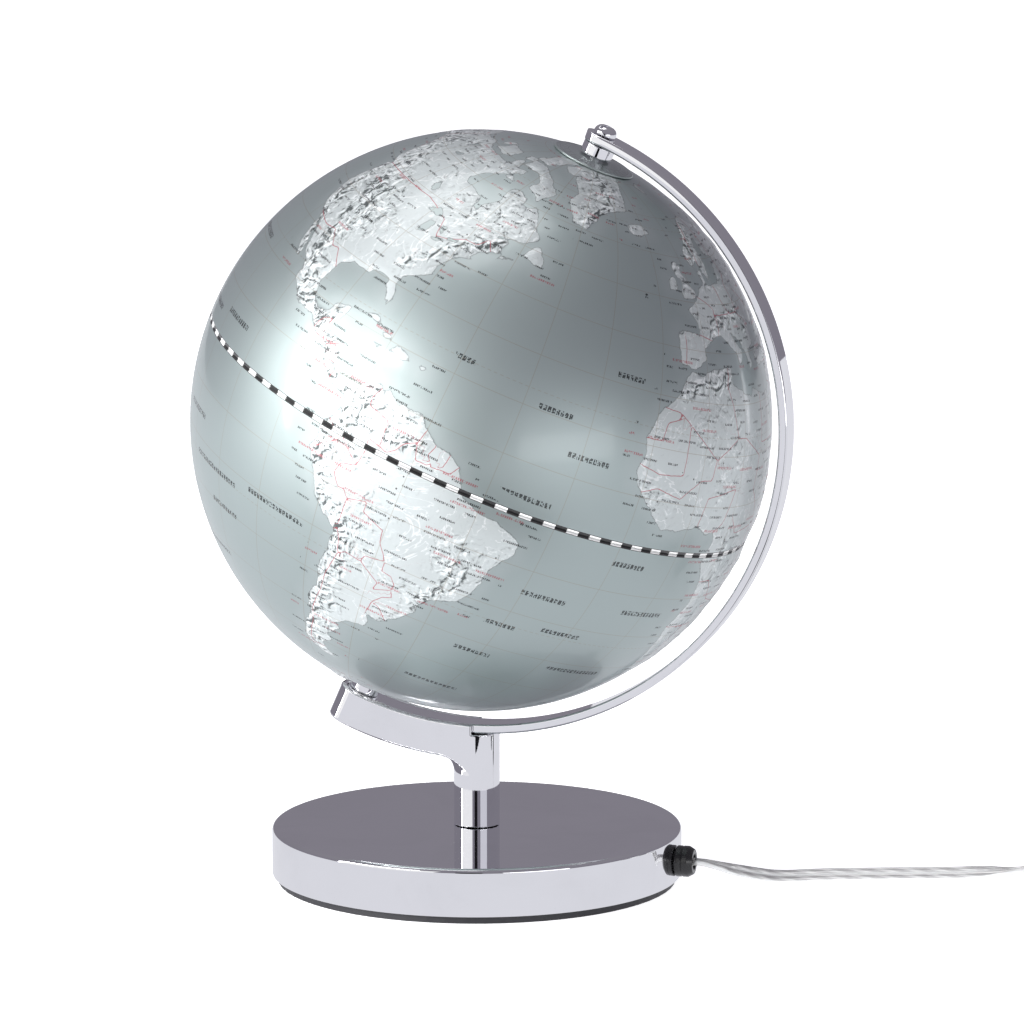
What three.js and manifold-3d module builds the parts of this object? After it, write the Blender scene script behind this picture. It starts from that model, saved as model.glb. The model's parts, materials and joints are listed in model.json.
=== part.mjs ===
// A lit desktop globe: a ball on a 23.5 degree axis, held by a half-round metal strip and a cast arm
// on a weighted round base, with its lamp inside the ball and a flat mains cord with a switch.
// Millimetres, +Z up. The origin is the centre of the flat underside. The strip's plane is XZ,
// and the ball's north pole leans towards +X.
import * as THREE from 'three';
import { mergeVertices } from 'three/addons/utils/BufferGeometryUtils.js';
import Module from 'manifold-3d';

const wasm = await Module();
wasm.setup();

// ---- driving dimensions ----
const GAP = 0.3;
const ROUND = 40;
const SMALL_ROUND = 20;
const TILT = THREE.MathUtils.degToRad(23.5);

const BALL = { x: 2, z: 201.5, radius: 125, wall: 2, steps: 9 };
const NORTH_HOLE = 5.3;
const SOUTH_HOLE = 9.3;
const STRIP = { inner: 132, outer: 136, width: 15, steps: 36 };
const ARM = { inner: STRIP.outer + GAP, outer: 147, width: 20, beyond: 10, corner: 8, steps: 10 };
const POST = { radius: 10, bottom: 24.3, boreTop: 46, fillet: 5.5 };
const GROOVE = { width: 5, outer: 144, path: 141 };
const BASE = { radius: 89, bottom: 3.3, top: 24, bevel: 2, wall: 1.6 };
const COVER = { radius: 86.5, top: 3 };
const BALLAST = { radius: 70, bottom: 16, top: 22.1, bossRadius: 6, bossPlace: 55 };
const COVER_SCREWS = 3;
const BOLT = { bore: 3, radius: 5, bottom: 9.5, top: 44 };
const CLEAR = BOLT.radius + GAP;
const ARC_SCREW_X = 6.2;
const LAMP_TUBE = { bore: 3, radius: 5, from: -138.6, to: -66.6 };
const LEAD_RADIUS = 1.6;
const GLAND = { height: 12.5, neck: 80, wall: BASE.radius + GAP, end: 97, radius: 6.75, bore: 3.2 };
const CORD = { width: 5.4, thick: 2.7, rest: 1.5 };
const SWITCH = { x: 238.5, y: 59.5, heading: 17.5, length: 60, width: 26, end: 14, parting: 4.2, top: 17 };
// The rocker rests with its far end down, and tips to the other end by twice its lean.
const ROCKER = { length: 18, width: 9, pivot: 11.5, top: 18.6, lean: THREE.MathUtils.degToRad(8) };
const COIL = { path: 31, inner: 22.3, outer: 34, bottom: GAP, top: 15.2, reach: 24.5 };
const PLUG = { length: 35, width: 26, tail: 10, bottom: GAP, top: 14, pin: 2, pinLength: 19, pinPlace: 9.3 };

// ---- finishes ----
const FINISHES = {
  chrome: { color: 0xd8d8de, roughness: 0.05, metalness: 1 },
  ball: { color: 0xb9c2c2, roughness: 0.25, metalness: 0.3 },
  steel: { color: 0xa9abb0, roughness: 0.35, metalness: 1 },
  brass: { color: 0xc8a24a, roughness: 0.3, metalness: 1 },
  iron: { color: 0x54565a, roughness: 0.7, metalness: 0.6 },
  black: { color: 0x121214, roughness: 0.4, metalness: 0 },
  white: { color: 0xefece4, roughness: 0.5, metalness: 0 },
  glass: { color: 0xfaf6ea, roughness: 0.2, metalness: 0 },
  clear: { color: 0xdcdcd8, roughness: 0.25, metalness: 0 },
};

// ---- helpers ----

// Removes normals, uvs and doubled corners, turns the faces outwards and gives a solid.
function toSolid(geometry) {
  const bare = new THREE.BufferGeometry();
  const flat = geometry.index ? geometry.toNonIndexed() : geometry;
  bare.setAttribute('position', flat.attributes.position);
  const merged = mergeVertices(bare, 1e-4);
  const points = merged.attributes.position.array;
  const corners = [];
  let volume = 0;
  const [a, b, c] = [new THREE.Vector3(), new THREE.Vector3(), new THREE.Vector3()];
  for (let i = 0; i < merged.index.count; i += 3) {
    const [p, q, r] = [0, 1, 2].map((k) => merged.index.getX(i + k));
    if (p === q || q === r || r === p) continue;
    corners.push(p, q, r);
    a.fromArray(points, 3 * p);
    b.fromArray(points, 3 * q);
    c.fromArray(points, 3 * r);
    volume += a.dot(b.cross(c));
  }
  if (volume < 0) corners.reverse();
  const mesh = new wasm.Mesh({
    numProp: 3,
    vertProperties: Float32Array.from(points),
    triVerts: Uint32Array.from(corners),
  });
  return new wasm.Manifold(mesh);
}

function toGeometry(solid) {
  const mesh = solid.getMesh();
  const geometry = new THREE.BufferGeometry();
  geometry.setAttribute('position', new THREE.BufferAttribute(Float32Array.from(mesh.vertProperties), 3));
  geometry.setIndex(new THREE.BufferAttribute(Uint32Array.from(mesh.triVerts), 1));
  return geometry;
}

function join(first, ...others) {
  return toGeometry(others.reduce((whole, next) => whole.add(toSolid(next)), toSolid(first)));
}

function cut(first, ...others) {
  return toGeometry(others.reduce((whole, next) => whole.subtract(toSolid(next)), toSolid(first)));
}

function common(first, second) {
  return toGeometry(toSolid(first).intersect(toSolid(second)));
}

// A profile of [radius, height] points turned about the Z axis.
function turned(profile, sides = ROUND) {
  const points = profile.map(([radius, height]) => new THREE.Vector2(radius, height));
  return toGeometry(toSolid(new THREE.LatheGeometry(points, sides).rotateX(Math.PI / 2)));
}

function rod(radius, from, to, sides = ROUND) {
  return turned([[0, from], [radius, from], [radius, to], [0, to]], sides);
}

function pipe(bore, radius, from, to, sides = ROUND) {
  return turned([[bore, from], [radius, from], [radius, to], [bore, to], [bore, from]], sides);
}

// Turns a shape made about the Z axis so that it lies along +X.
function alongX(geometry) {
  return geometry.rotateY(Math.PI / 2);
}

function block(x, y, z) {
  const sides = [x[1] - x[0], y[1] - y[0], z[1] - z[0]];
  const middle = [x, y, z].map(([low, high]) => (low + high) / 2);
  return new THREE.BoxGeometry(...sides).translate(...middle);
}

// An outline in the XZ plane, as thick as width along Y and centred on it.
function slab(shape, width, curveSteps = 12) {
  const geometry = new THREE.ExtrudeGeometry(shape, {
    depth: width,
    bevelEnabled: false,
    curveSegments: curveSteps,
  });
  return geometry.rotateX(Math.PI / 2).translate(0, width / 2, 0);
}

// An outline in the XY plane, raised from one height to another.
function raised(shape, from, to, curveSteps = 8) {
  const geometry = new THREE.ExtrudeGeometry(shape, {
    depth: to - from,
    bevelEnabled: false,
    curveSegments: curveSteps,
  });
  return geometry.translate(0, 0, from);
}

// A band between two radii, from one angle to another, in the XZ plane.
function band(inner, outer, from, to) {
  const shape = new THREE.Shape();
  shape.absarc(0, 0, outer, from, to, false);
  shape.absarc(0, 0, inner, to, from, true);
  return shape;
}

// Points on a circle about the turning axis, as [radius, height], by the angle from the equator.
function meridian(radius, from, to, steps) {
  return Array.from({ length: steps + 1 }, (_, i) => {
    const angle = from + ((to - from) * i) / steps;
    return [radius * Math.cos(angle), radius * Math.sin(angle)];
  });
}

// A section of width by thickness with eight corners, carried along points.
function swept(points, width, thick, steps) {
  const section = new THREE.Shape();
  for (let i = 0; i < 8; i += 1) {
    const turn = ((i + 0.5) * Math.PI) / 4;
    const scale = 1 / Math.cos(Math.PI / 8);
    const across = Math.max(-1, Math.min(1, Math.cos(turn) * scale));
    const up = Math.max(-1, Math.min(1, Math.sin(turn) * scale));
    const corner = [(across * thick) / 2, (up * width) / 2];
    if (i === 0) section.moveTo(...corner);
    else section.lineTo(...corner);
  }
  section.closePath();
  const path = new THREE.CatmullRomCurve3(points.map((p) => new THREE.Vector3(...p)), false, 'centripetal');
  return new THREE.ExtrudeGeometry(section, { steps, bevelEnabled: false, extrudePath: path });
}

// The angle from straight down, towards -X, as a place at a distance from the ball's centre.
function onArm(distance, degrees) {
  const angle = THREE.MathUtils.degToRad(degrees);
  return [BALL.x - distance * Math.sin(angle), 0, BALL.z - distance * Math.cos(angle)];
}

// Moves a shape made about the ball's axis into the stand's frame.
function tilted(geometry) {
  return geometry.rotateY(TILT).translate(BALL.x, 0, BALL.z);
}

// Adds one named piece to a group.
function add(group, name, geometry, finish) {
  const mesh = new THREE.Mesh(toGeometry(toSolid(geometry)), new THREE.MeshStandardMaterial(FINISHES[finish]));
  mesh.name = name;
  group.add(mesh);
}

// ---- the base ----

function baseShell() {
  const { radius, bottom, top, bevel, wall } = BASE;
  const shell = turned([
    [CLEAR, top - wall],
    [radius - wall, top - wall],
    [radius - wall, bottom],
    [radius, bottom],
    [radius, top - bevel],
    [radius - bevel / 3, top - bevel / 3],
    [radius - bevel, top],
    [CLEAR, top],
    [CLEAR, top - wall],
  ], 64);
  const glandHole = alongX(rod(CLEAR, BASE.radius - 6, BASE.radius + 4, SMALL_ROUND));
  return cut(shell, glandHole.translate(0, 0, GLAND.height));
}

// Where each cover screw stands.
function coverScrewPlaces() {
  return Array.from({ length: COVER_SCREWS }, (_, i) => {
    const angle = Math.PI / 3 + (i * 2 * Math.PI) / COVER_SCREWS;
    return [BALLAST.bossPlace * Math.cos(angle), BALLAST.bossPlace * Math.sin(angle)];
  });
}

function ballastPlate() {
  const plate = pipe(CLEAR, BALLAST.radius, BALLAST.bottom, BALLAST.top);
  const places = coverScrewPlaces();
  const bosses = places.map(([x, y]) => {
    return rod(BALLAST.bossRadius, BASE.bottom, BALLAST.bottom + 1, 16).translate(x, y, 0);
  });
  const holes = places.map(([x, y]) => rod(1.8, 0, 12, 12).translate(x, y, 0));
  return cut(join(plate, ...bosses), ...holes);
}

function bottomCover() {
  const plate = rod(COVER.radius, 0, COVER.top, 64);
  const holes = coverScrewPlaces().map(([x, y]) => {
    return join(rod(3.5, -1, 2, 16), rod(1.8, 1, 4, 16)).translate(x, y, 0);
  });
  return cut(plate, ...holes);
}

function coverScrew() {
  return turned([[0, 0.3], [3.2, 0.3], [3.2, 1.7], [1.5, 1.7], [1.5, 11], [0, 11]], 12);
}

function addBase(group) {
  add(group, 'base_shell', baseShell(), 'chrome');
  add(group, 'ballast_plate', ballastPlate(), 'iron');
  add(group, 'bottom_cover', bottomCover(), 'black');
  coverScrewPlaces().forEach(([x, y], i) => {
    add(group, `cover_screw_${i + 1}`, coverScrew().translate(x, y, 0), 'steel');
  });
  const nut = cut(rod(9, 10, 14.1, 6), rod(CLEAR, 9, 15, SMALL_ROUND));
  add(group, 'post_bolt', pipe(BOLT.bore, BOLT.radius, BOLT.bottom, BOLT.top, SMALL_ROUND), 'steel');
  add(group, 'post_washer', pipe(CLEAR, 12, 14.4, 15.7, SMALL_ROUND), 'steel');
  add(group, 'post_nut', nut, 'steel');
}

// ---- the arm and the strip ----

// The arm seen from above: square to the strip, with a rounded far end.
function armPlan() {
  const { width, beyond, corner } = ARM;
  const half = width / 2;
  const shape = new THREE.Shape();
  shape.moveTo(80, -half);
  shape.lineTo(80, half);
  shape.lineTo(-beyond + corner, half);
  shape.absarc(-beyond + corner, half - corner, corner, Math.PI / 2, Math.PI, false);
  shape.absarc(-beyond + corner, corner - half, corner, Math.PI, 1.5 * Math.PI, false);
  shape.closePath();
  return raised(shape, -160, -100);
}

// The post, with the concave round that carries it into the arm's lower face.
function post() {
  const { radius, bottom, fillet } = POST;
  const under = BALL.z - ARM.outer;
  const flare = meridian(fillet, 0, Math.PI / 2, 5).map(([across, up]) => {
    return [radius + fillet - across, under - fillet + 0.5 + up];
  });
  const round = turned([[0, under - fillet], [radius, under - fillet], ...flare, [radius + fillet, under + 3],
    [0, under + 3]]);
  const side = block([-20, 0], [-ARM.width / 2, ARM.width / 2], [0, 90]);
  return join(rod(radius, bottom, 70), common(round, side));
}

// A disc about the ball's centre, square to the strip's plane.
function ballDisc(radius, width) {
  const disc = new THREE.CylinderGeometry(radius, radius, width, 120);
  return disc.translate(BALL.x, 0, BALL.z);
}

// The channel's outline about the ball's axis: as wide as the strip, with a round end.
function channelPlan() {
  const half = STRIP.width / 2 + GAP;
  return join(rod(half, -160, -100, ROUND), block([0, 80], [-half, half], [-160, -100]));
}

// The arm holds the strip in a channel, and the channel's rim ends flush with the strip's inner face.
function bracket() {
  const down = -Math.PI / 2;
  const arc = slab(band(STRIP.inner - 2, ARM.outer, down - 0.52, down + 0.04), ARM.width, ARM.steps);
  arc.translate(BALL.x, 0, BALL.z);
  const arm = cut(common(arc, tilted(armPlan())), block([0, 30], [-15, 15], [40, 80]));
  const wireWay = slab(band(STRIP.outer - 1, GROOVE.outer, down - TILT, down - 0.01), GROOVE.width, 8);
  const pocket = rod(LAMP_TUBE.radius + GAP, -GROOVE.outer, -STRIP.outer + 1, SMALL_ROUND);
  const screwHole = rod(1.7, 53.7, 70, 12).translate(ARC_SCREW_X, 0, 0);
  return cut(
    join(arm, post()),
    ballDisc(STRIP.inner, 60),
    common(ballDisc(ARM.inner, 60), tilted(channelPlan())),
    common(ballDisc(ARM.inner, 60), block([0, 60], [-30, 30], [0, 90])),
    rod(CLEAR, POST.bottom - 1, POST.boreTop, SMALL_ROUND),
    rod(BOLT.bore, POST.boreTop - 1, 70, SMALL_ROUND),
    wireWay.translate(BALL.x, 0, BALL.z),
    tilted(pocket),
    screwHole,
  );
}

// The strip is made about the ball's axis, and its ends are round about that axis.
function meridianArc() {
  const past = 0.07;
  const outline = band(STRIP.inner, STRIP.outer, -Math.PI / 2 - past, Math.PI / 2 + past);
  const whole = slab(outline, STRIP.width, STRIP.steps);
  const ends = rod(STRIP.width / 2, -150, 150, SMALL_ROUND);
  const side = block([0, 150], [-STRIP.width, STRIP.width], [-150, 150]);
  const screwHole = join(rod(1.7, 60, 80, 12), rod(3, 67.5, 80, 16)).translate(ARC_SCREW_X, 0, 0);
  return cut(
    common(whole, join(ends, side)),
    rod(2.3, 100, 150, SMALL_ROUND),
    rod(CLEAR, -150, -100, SMALL_ROUND),
    screwHole.translate(-BALL.x, 0, -BALL.z).rotateY(-TILT),
  );
}

function arcScrew() {
  return turned([[0, 54], [1.4, 54], [1.4, 67.8], [2.7, 67.8], [2.7, 68.8], [1.8, 69.4], [0, 69.4]], 12);
}

// A dome-headed screw with a driver slot: it pins the ball's north pole.
function pivotScrew() {
  const seat = STRIP.outer + GAP;
  const dome = [[5, seat], [5, seat + 1.8], [4.4, seat + 3.1], [2.9, seat + 3.9], [0, seat + 4.2]];
  const screw = turned([[0, 114], [2, 114], [2, seat], ...dome], SMALL_ROUND);
  return cut(screw, block([-6, 6], [-0.6, 0.6], [seat + 2.6, seat + 6]).rotateZ(Math.PI / 3));
}

function addArm(group, axis) {
  add(group, 'bracket', bracket(), 'chrome');
  add(axis, 'meridian_arc', meridianArc(), 'chrome');
  add(group, 'arc_screw', arcScrew().translate(ARC_SCREW_X, 0, 0), 'steel');
  add(axis, 'pivot_screw', pivotScrew(), 'chrome');
  add(axis, 'north_spacer', pipe(2.3, 7, 126.5, 131.7, SMALL_ROUND), 'chrome');
  add(axis, 'south_spacer', pipe(CLEAR, 6.5, -131.7, -126.6, SMALL_ROUND), 'chrome');
}

// ---- the lamp ----

function lampHolder() {
  return turned([
    [CLEAR, -78],
    [13, -78],
    [13, -42],
    [9, -42],
    [9, -62],
    [2.5, -62],
    [2.5, -66.3],
    [CLEAR, -66.3],
    [CLEAR, -78],
  ], SMALL_ROUND);
}

// The bulb's glass, a thin round shell that is open at its neck.
function bulbGlass() {
  const skin = (radius, neck) => {
    const start = -Math.acos(neck / radius);
    return meridian(radius, start, Math.PI / 2, 10).map(([across, up]) => [Math.abs(across), up - 14]);
  };
  const outer = skin(22.5, 6.5);
  const inner = skin(21.5, 5.5).reverse();
  return turned([[6.5, -39.7], ...outer, ...inner, [5.5, -39.7], [6.5, -39.7]], SMALL_ROUND);
}

// The lead's way from the gland, through the base, post and arm, and up into the lamp holder.
function lampLead() {
  const upTube = (height) => [BALL.x + height * Math.sin(TILT), 0, BALL.z + height * Math.cos(TILT)];
  const points = [
    [GLAND.end, 0, GLAND.height], [88, 0, GLAND.height], [82, 0, 12], [76, 0, 10.4], [69, 0, 7.4],
    [61, 0, 5.4], [50, 0, 5], [30, 0, 5], [12, 0, 5], [5, 0, 5], [1.5, 0, 6.5], [0, 0, 10], [0, 0, 20],
    [0, 0, 34], [0, 0, 48], [0, 0, 55.5], [-1.5, 0, 59.1], onArm(GROOVE.path, 2.85),
    onArm(GROOVE.path, 8), onArm(GROOVE.path, 14), onArm(GROOVE.path, 19), onArm(GROOVE.path, 22.1),
    onArm(GROOVE.path - 1, 23.1), upTube(-137.5), upTube(-125), upTube(-105), upTube(-85), upTube(-63),
  ];
  return swept(points, 2 * LEAD_RADIUS, 2 * LEAD_RADIUS, 72);
}

function addLamp(group, axis) {
  add(axis, 'lamp_tube', pipe(LAMP_TUBE.bore, LAMP_TUBE.radius, LAMP_TUBE.from, LAMP_TUBE.to, SMALL_ROUND), 'steel');
  add(axis, 'lamp_holder', lampHolder(), 'white');
  add(axis, 'bulb_cap', rod(7, -61, -40, SMALL_ROUND), 'brass');
  add(axis, 'bulb_glass', bulbGlass(), 'glass');
  add(group, 'lamp_lead', lampLead(), 'clear');
}

// ---- the ball ----

// Half of the ball's shell, from the joint at the equator to the hole at its pole.
function halfShell(hole) {
  const { radius, wall, steps } = BALL;
  const seam = 0.15;
  const from = Math.asin(seam / radius);
  const outer = meridian(radius, from, Math.acos(hole / radius), steps);
  const inner = meridian(radius - wall, from, Math.acos(hole / (radius - wall)), steps);
  return turned([...outer, ...inner.reverse(), outer[0]]);
}

function polarDisc() {
  const ends = [18, 3].map((radius) => Math.acos(radius / BALL.radius));
  const outer = meridian(BALL.radius + 1.1, ends[0], ends[1], 4);
  const inner = meridian(BALL.radius + GAP, ends[0], ends[1], 4).reverse();
  return turned([...outer, ...inner, outer[0]], SMALL_ROUND);
}

function northBush() {
  return turned([[2.3, 119], [9, 119], [9, 122], [5, 122], [5, 124.7], [2.3, 124.7], [2.3, 119]], SMALL_ROUND);
}

function southBush() {
  return turned([
    [CLEAR, -126.3],
    [9, -126.3],
    [9, -121.5],
    [14, -121.5],
    [14, -119.5],
    [CLEAR, -119.5],
    [CLEAR, -126.3],
  ], SMALL_ROUND);
}

function addBall(axis) {
  add(axis, 'globe_north', halfShell(NORTH_HOLE), 'ball');
  add(axis, 'globe_south', halfShell(SOUTH_HOLE).rotateX(Math.PI), 'ball');
  add(axis, 'joining_ring', pipe(119.5, 121.9, -7, 7), 'white');
  add(axis, 'north_bush', northBush(), 'white');
  add(axis, 'south_bush', southBush(), 'white');
  add(axis, 'polar_disc', polarDisc(), 'chrome');
}

// ---- the cord and what is on it ----

function cordGland() {
  const { neck, wall, end, radius, bore } = GLAND;
  const gland = turned([
    [bore, neck],
    [5, neck],
    [5, wall],
    [radius, wall],
    [radius, end - 2],
    [radius - 1.5, end],
    [bore, end],
    [bore, neck],
  ], SMALL_ROUND);
  return alongX(gland).translate(0, 0, GLAND.height);
}

// The cord from the gland, down to the table and along it to the switch.
const CORD_ROUTE = [
  [97.3, 0, 12.5], [101, 0.2, 12.3], [106, 1.3, 11.2], [111, 4, 9.3], [116, 8, 7], [121, 13, 4.7],
  [126, 17.8, 2.9], [132, 22.8, 1.8], [139, 27.2, CORD.rest], [148, 31.2, CORD.rest], [158, 34.6, CORD.rest],
  [174, 39.6, CORD.rest], [192, 45, CORD.rest], [208, 49.9, 1.7], [222, 54.3, 2.7], [231, 57.1, 3.7],
  [238.2, 59.4, SWITCH.parting],
];

// Everything from the switch on lies in a turned frame: the switch starts at its origin.
function switchFrame() {
  const frame = new THREE.Group();
  frame.position.set(SWITCH.x, SWITCH.y, 0);
  frame.rotation.z = THREE.MathUtils.degToRad(SWITCH.heading);
  return frame;
}

// The switch seen from above: a long box that narrows to its two cord ends.
function switchPlan(inset) {
  const { length, width, end } = SWITCH;
  const shape = new THREE.Shape();
  const corners = [
    [inset, -end / 2 + inset],
    [13, -width / 2 + inset],
    [length - 13, -width / 2 + inset],
    [length - inset, -end / 2 + inset],
    [length - inset, end / 2 - inset],
    [length - 13, width / 2 - inset],
    [13, width / 2 - inset],
    [inset, end / 2 - inset],
  ];
  corners.forEach(([x, y], i) => (i === 0 ? shape.moveTo(x, y) : shape.lineTo(x, y)));
  shape.closePath();
  return shape;
}

// The cord's way through the switch, a little larger than the cord.
function cordWay() {
  const [y, z] = [CORD.width / 2 + GAP, CORD.thick / 2 + GAP];
  return block([-1, SWITCH.length + 1], [-y, y], [SWITCH.parting - z, SWITCH.parting + z]);
}

function switchBase() {
  const plate = raised(switchPlan(0), 0.2, SWITCH.parting - 0.15);
  return cut(plate, cordWay());
}

function switchCover() {
  const { length, top, parting } = SWITCH;
  const middle = length / 2;
  const bottom = parting + 0.15;
  const shell = cut(raised(switchPlan(0), bottom, top), raised(switchPlan(1.8), bottom - 1, top - 2), cordWay());
  const cheeks = [-1, 1].map((side) => {
    const y = side < 0 ? [-6.9, -5.2] : [5.2, 6.9];
    return block([middle - 4, middle + 4], y, [9, top - 1]);
  });
  const opening = block(
    [middle - ROCKER.length / 2 - 1.5, middle + ROCKER.length / 2 + 1.5],
    [-ROCKER.width / 2 - 0.4, ROCKER.width / 2 + 0.4],
    [top - 4, top + 1],
  );
  return cut(join(shell, ...cheeks), opening, trunnion(1.35));
}

// The rocker's pin, which lies across the switch.
function trunnion(radius) {
  const pin = new THREE.CylinderGeometry(radius, radius, 12.4, 16);
  return pin.translate(SWITCH.length / 2, 0, ROCKER.pivot);
}

function switchRocker() {
  const { length, pivot, top } = ROCKER;
  const middle = SWITCH.length / 2;
  const shape = new THREE.Shape();
  const corners = [[-3, pivot - 3], [3, pivot - 3], [length / 2, 14], [length / 2, top], [0, top - 0.9],
    [-length / 2, top], [-length / 2, 14]];
  corners.forEach(([x, z], i) => {
    if (i === 0) shape.moveTo(middle + x, z);
    else shape.lineTo(middle + x, z);
  });
  shape.closePath();
  const rocker = join(slab(shape, ROCKER.width), trunnion(1));
  return rocker.translate(-middle, 0, -pivot).rotateY(ROCKER.lean).translate(middle, 0, pivot);
}

// A bent strip under the rocker that closes one wire of the cord.
function switchContact() {
  const middle = SWITCH.length / 2;
  const foot = block([middle - 14, middle + 14], [6, 9.5], [6.5, 7.3]);
  const tongue = block([middle - 5, middle + 5], [-2, 6.5], [6.5, 7.3]);
  return join(foot, tongue);
}

function cordCoil() {
  const { inner, outer, bottom, top } = COIL;
  return pipe(inner, outer, bottom, top).translate(SWITCH.length + COIL.reach, -COIL.path, 0);
}

// The plug lies beside the coil, with its pins pointing back past the switch.
function plugBody() {
  const { length, width, tail, bottom, top } = PLUG;
  const shape = new THREE.Shape();
  const corners = [[0, -tail / 2], [0, tail / 2], [-16, width / 2], [-length, width / 2], [-length, -width / 2],
    [-16, -width / 2]];
  corners.forEach(([x, y], i) => (i === 0 ? shape.moveTo(x, y) : shape.lineTo(x, y)));
  shape.closePath();
  const holes = [-1, 1].map((side) => plugPin(side, PLUG.pin + GAP));
  return cut(raised(shape, bottom, top), ...holes);
}

// A round contact pin, set 9 mm deep in the plug's body.
function plugPin(side, radius = PLUG.pin) {
  const depth = radius > PLUG.pin ? 9 + GAP : 9;
  const pin = alongX(rod(radius, -PLUG.length - PLUG.pinLength, -PLUG.length + depth, 16));
  return pin.translate(0, side * PLUG.pinPlace, (PLUG.bottom + PLUG.top) / 2);
}

function addCord(group) {
  add(group, 'cord_gland', cordGland(), 'black');
  const nut = alongX(cut(rod(8, 82.2, 86.2, 6), rod(CLEAR, 81, 88, SMALL_ROUND)));
  add(group, 'gland_nut', nut.translate(0, 0, GLAND.height), 'steel');
  add(group, 'cord_run', swept(CORD_ROUTE, CORD.width, CORD.thick, 50), 'clear');
  const lying = switchFrame();
  group.add(lying);
  add(lying, 'switch_base', switchBase(), 'black');
  add(lying, 'switch_cover', switchCover(), 'black');
  add(lying, 'switch_rocker', switchRocker(), 'black');
  add(lying, 'switch_contact', switchContact(), 'brass');
  add(lying, 'cord_coil', cordCoil(), 'clear');
  const plug = new THREE.Group();
  plug.position.set(SWITCH.length, -2 * COIL.path, 0);
  lying.add(plug);
  add(plug, 'plug_body', plugBody(), 'black');
  add(plug, 'plug_pin_1', plugPin(-1), 'steel');
  add(plug, 'plug_pin_2', plugPin(1), 'steel');
}

// ---- the whole globe ----

const globe = new THREE.Group();
const axis = new THREE.Group();
axis.position.set(BALL.x, 0, BALL.z);
axis.rotation.y = TILT;
globe.add(axis);
addBase(globe);
addArm(globe, axis);
addLamp(globe, axis);
addBall(axis);
addCord(globe);

export default globe;
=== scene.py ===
"""A lit silver desktop globe on a chromed stand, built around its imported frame.

Lengths in the classes below are in millimetres. They lie in the stand's frame, which has +Z up, its
origin at the centre of the underside and the half-round strip in the XZ plane, or in a frame placed
in it. Meshes are written in metres, and so are the places in the studio.
"""

import json
import logging
import math
from collections.abc import Callable, Sequence
from dataclasses import dataclass, field
from enum import Enum

import bpy
import numpy as np
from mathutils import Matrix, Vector


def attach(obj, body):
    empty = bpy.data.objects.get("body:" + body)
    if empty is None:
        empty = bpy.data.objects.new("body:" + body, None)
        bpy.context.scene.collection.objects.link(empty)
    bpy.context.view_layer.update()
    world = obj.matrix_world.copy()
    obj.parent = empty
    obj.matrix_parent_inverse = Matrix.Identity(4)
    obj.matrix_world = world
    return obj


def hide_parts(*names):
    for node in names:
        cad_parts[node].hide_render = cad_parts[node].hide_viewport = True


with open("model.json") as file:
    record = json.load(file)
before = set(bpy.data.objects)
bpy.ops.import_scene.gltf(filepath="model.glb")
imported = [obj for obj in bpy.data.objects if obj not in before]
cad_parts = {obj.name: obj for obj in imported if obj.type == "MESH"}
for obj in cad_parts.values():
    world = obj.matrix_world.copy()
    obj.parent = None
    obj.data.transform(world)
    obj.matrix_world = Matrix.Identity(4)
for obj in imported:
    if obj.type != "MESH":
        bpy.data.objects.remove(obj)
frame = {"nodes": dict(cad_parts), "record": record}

LOG = logging.getLogger("globe")
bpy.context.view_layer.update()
MM = 0.001
Array = np.ndarray
EARTH_KM = 6371
FAR = 1e9
MOST_OF_A_SIDE = 0.48
NEARLY_STRAIGHT = 1.55


# ---------------------------------------------------------------- placing


@dataclass(frozen=True)
class Frame:
    """A right-handed set of axes in the stand's frame.

    A point of the frame is origin + a x + b y + c z, where x, y and z are its unit axes.
    """

    origin: Array
    x: Array
    y: Array
    z: Array

    def put(self, points: Array) -> Array:
        """Returns points of this frame, in millimetres, as points of the stand's frame."""
        return self.origin + points @ np.stack([self.x, self.y, self.z])

    def turn(self, directions: Array) -> Array:
        """Returns directions of this frame as directions of the stand's frame."""
        return directions @ np.stack([self.x, self.y, self.z])


STAND = Frame(np.zeros(3), np.array([1.0, 0, 0]), np.array([0, 1.0, 0]), np.array([0, 0, 1.0]))


def frame_along(origin: Sequence[float], axis: Sequence[float]) -> Frame:
    """A frame whose z is the axis and whose y is the stand's y.

    Args:
        origin: the frame's origin in millimetres.
        axis: the direction of z, square to the stand's y.

    Returns:
        The frame; its x is y cross z.
    """
    z = np.array(axis, float)
    z /= np.linalg.norm(z)
    y = STAND.y
    return Frame(np.array(origin, float), np.cross(y, z), y, z)


# ---------------------------------------------------------------- meshes


def quads_of(rows: int, columns: int, wrap: bool) -> Array:
    """The quads of a grid of rows by columns of points, numbered row by row.

    Args:
        rows: how many rows of points there are.
        columns: how many points a row has.
        wrap: whether the last column joins the first.

    Returns:
        An array of four corner numbers for each quad.
    """
    across = columns if wrap else columns - 1
    i, j = np.meshgrid(np.arange(rows - 1), np.arange(across), indexing="ij")
    k = (j + 1) % columns
    near, far = i * columns, (i + 1) * columns
    return np.stack([near + j, near + k, far + k, far + j], -1).reshape(-1, 4)


def signed_volume(points: Array, faces: Array) -> float:
    """The volume inside the faces, a sum of a . (b x c) / 6 over their triangles."""
    total = 0.0
    for k in range(1, faces.shape[1] - 1):
        a, b, c = points[faces[:, 0]], points[faces[:, k]], points[faces[:, k + 1]]
        total += float(np.einsum("ij,ij->", a, np.cross(b, c))) / 6
    return total


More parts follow.
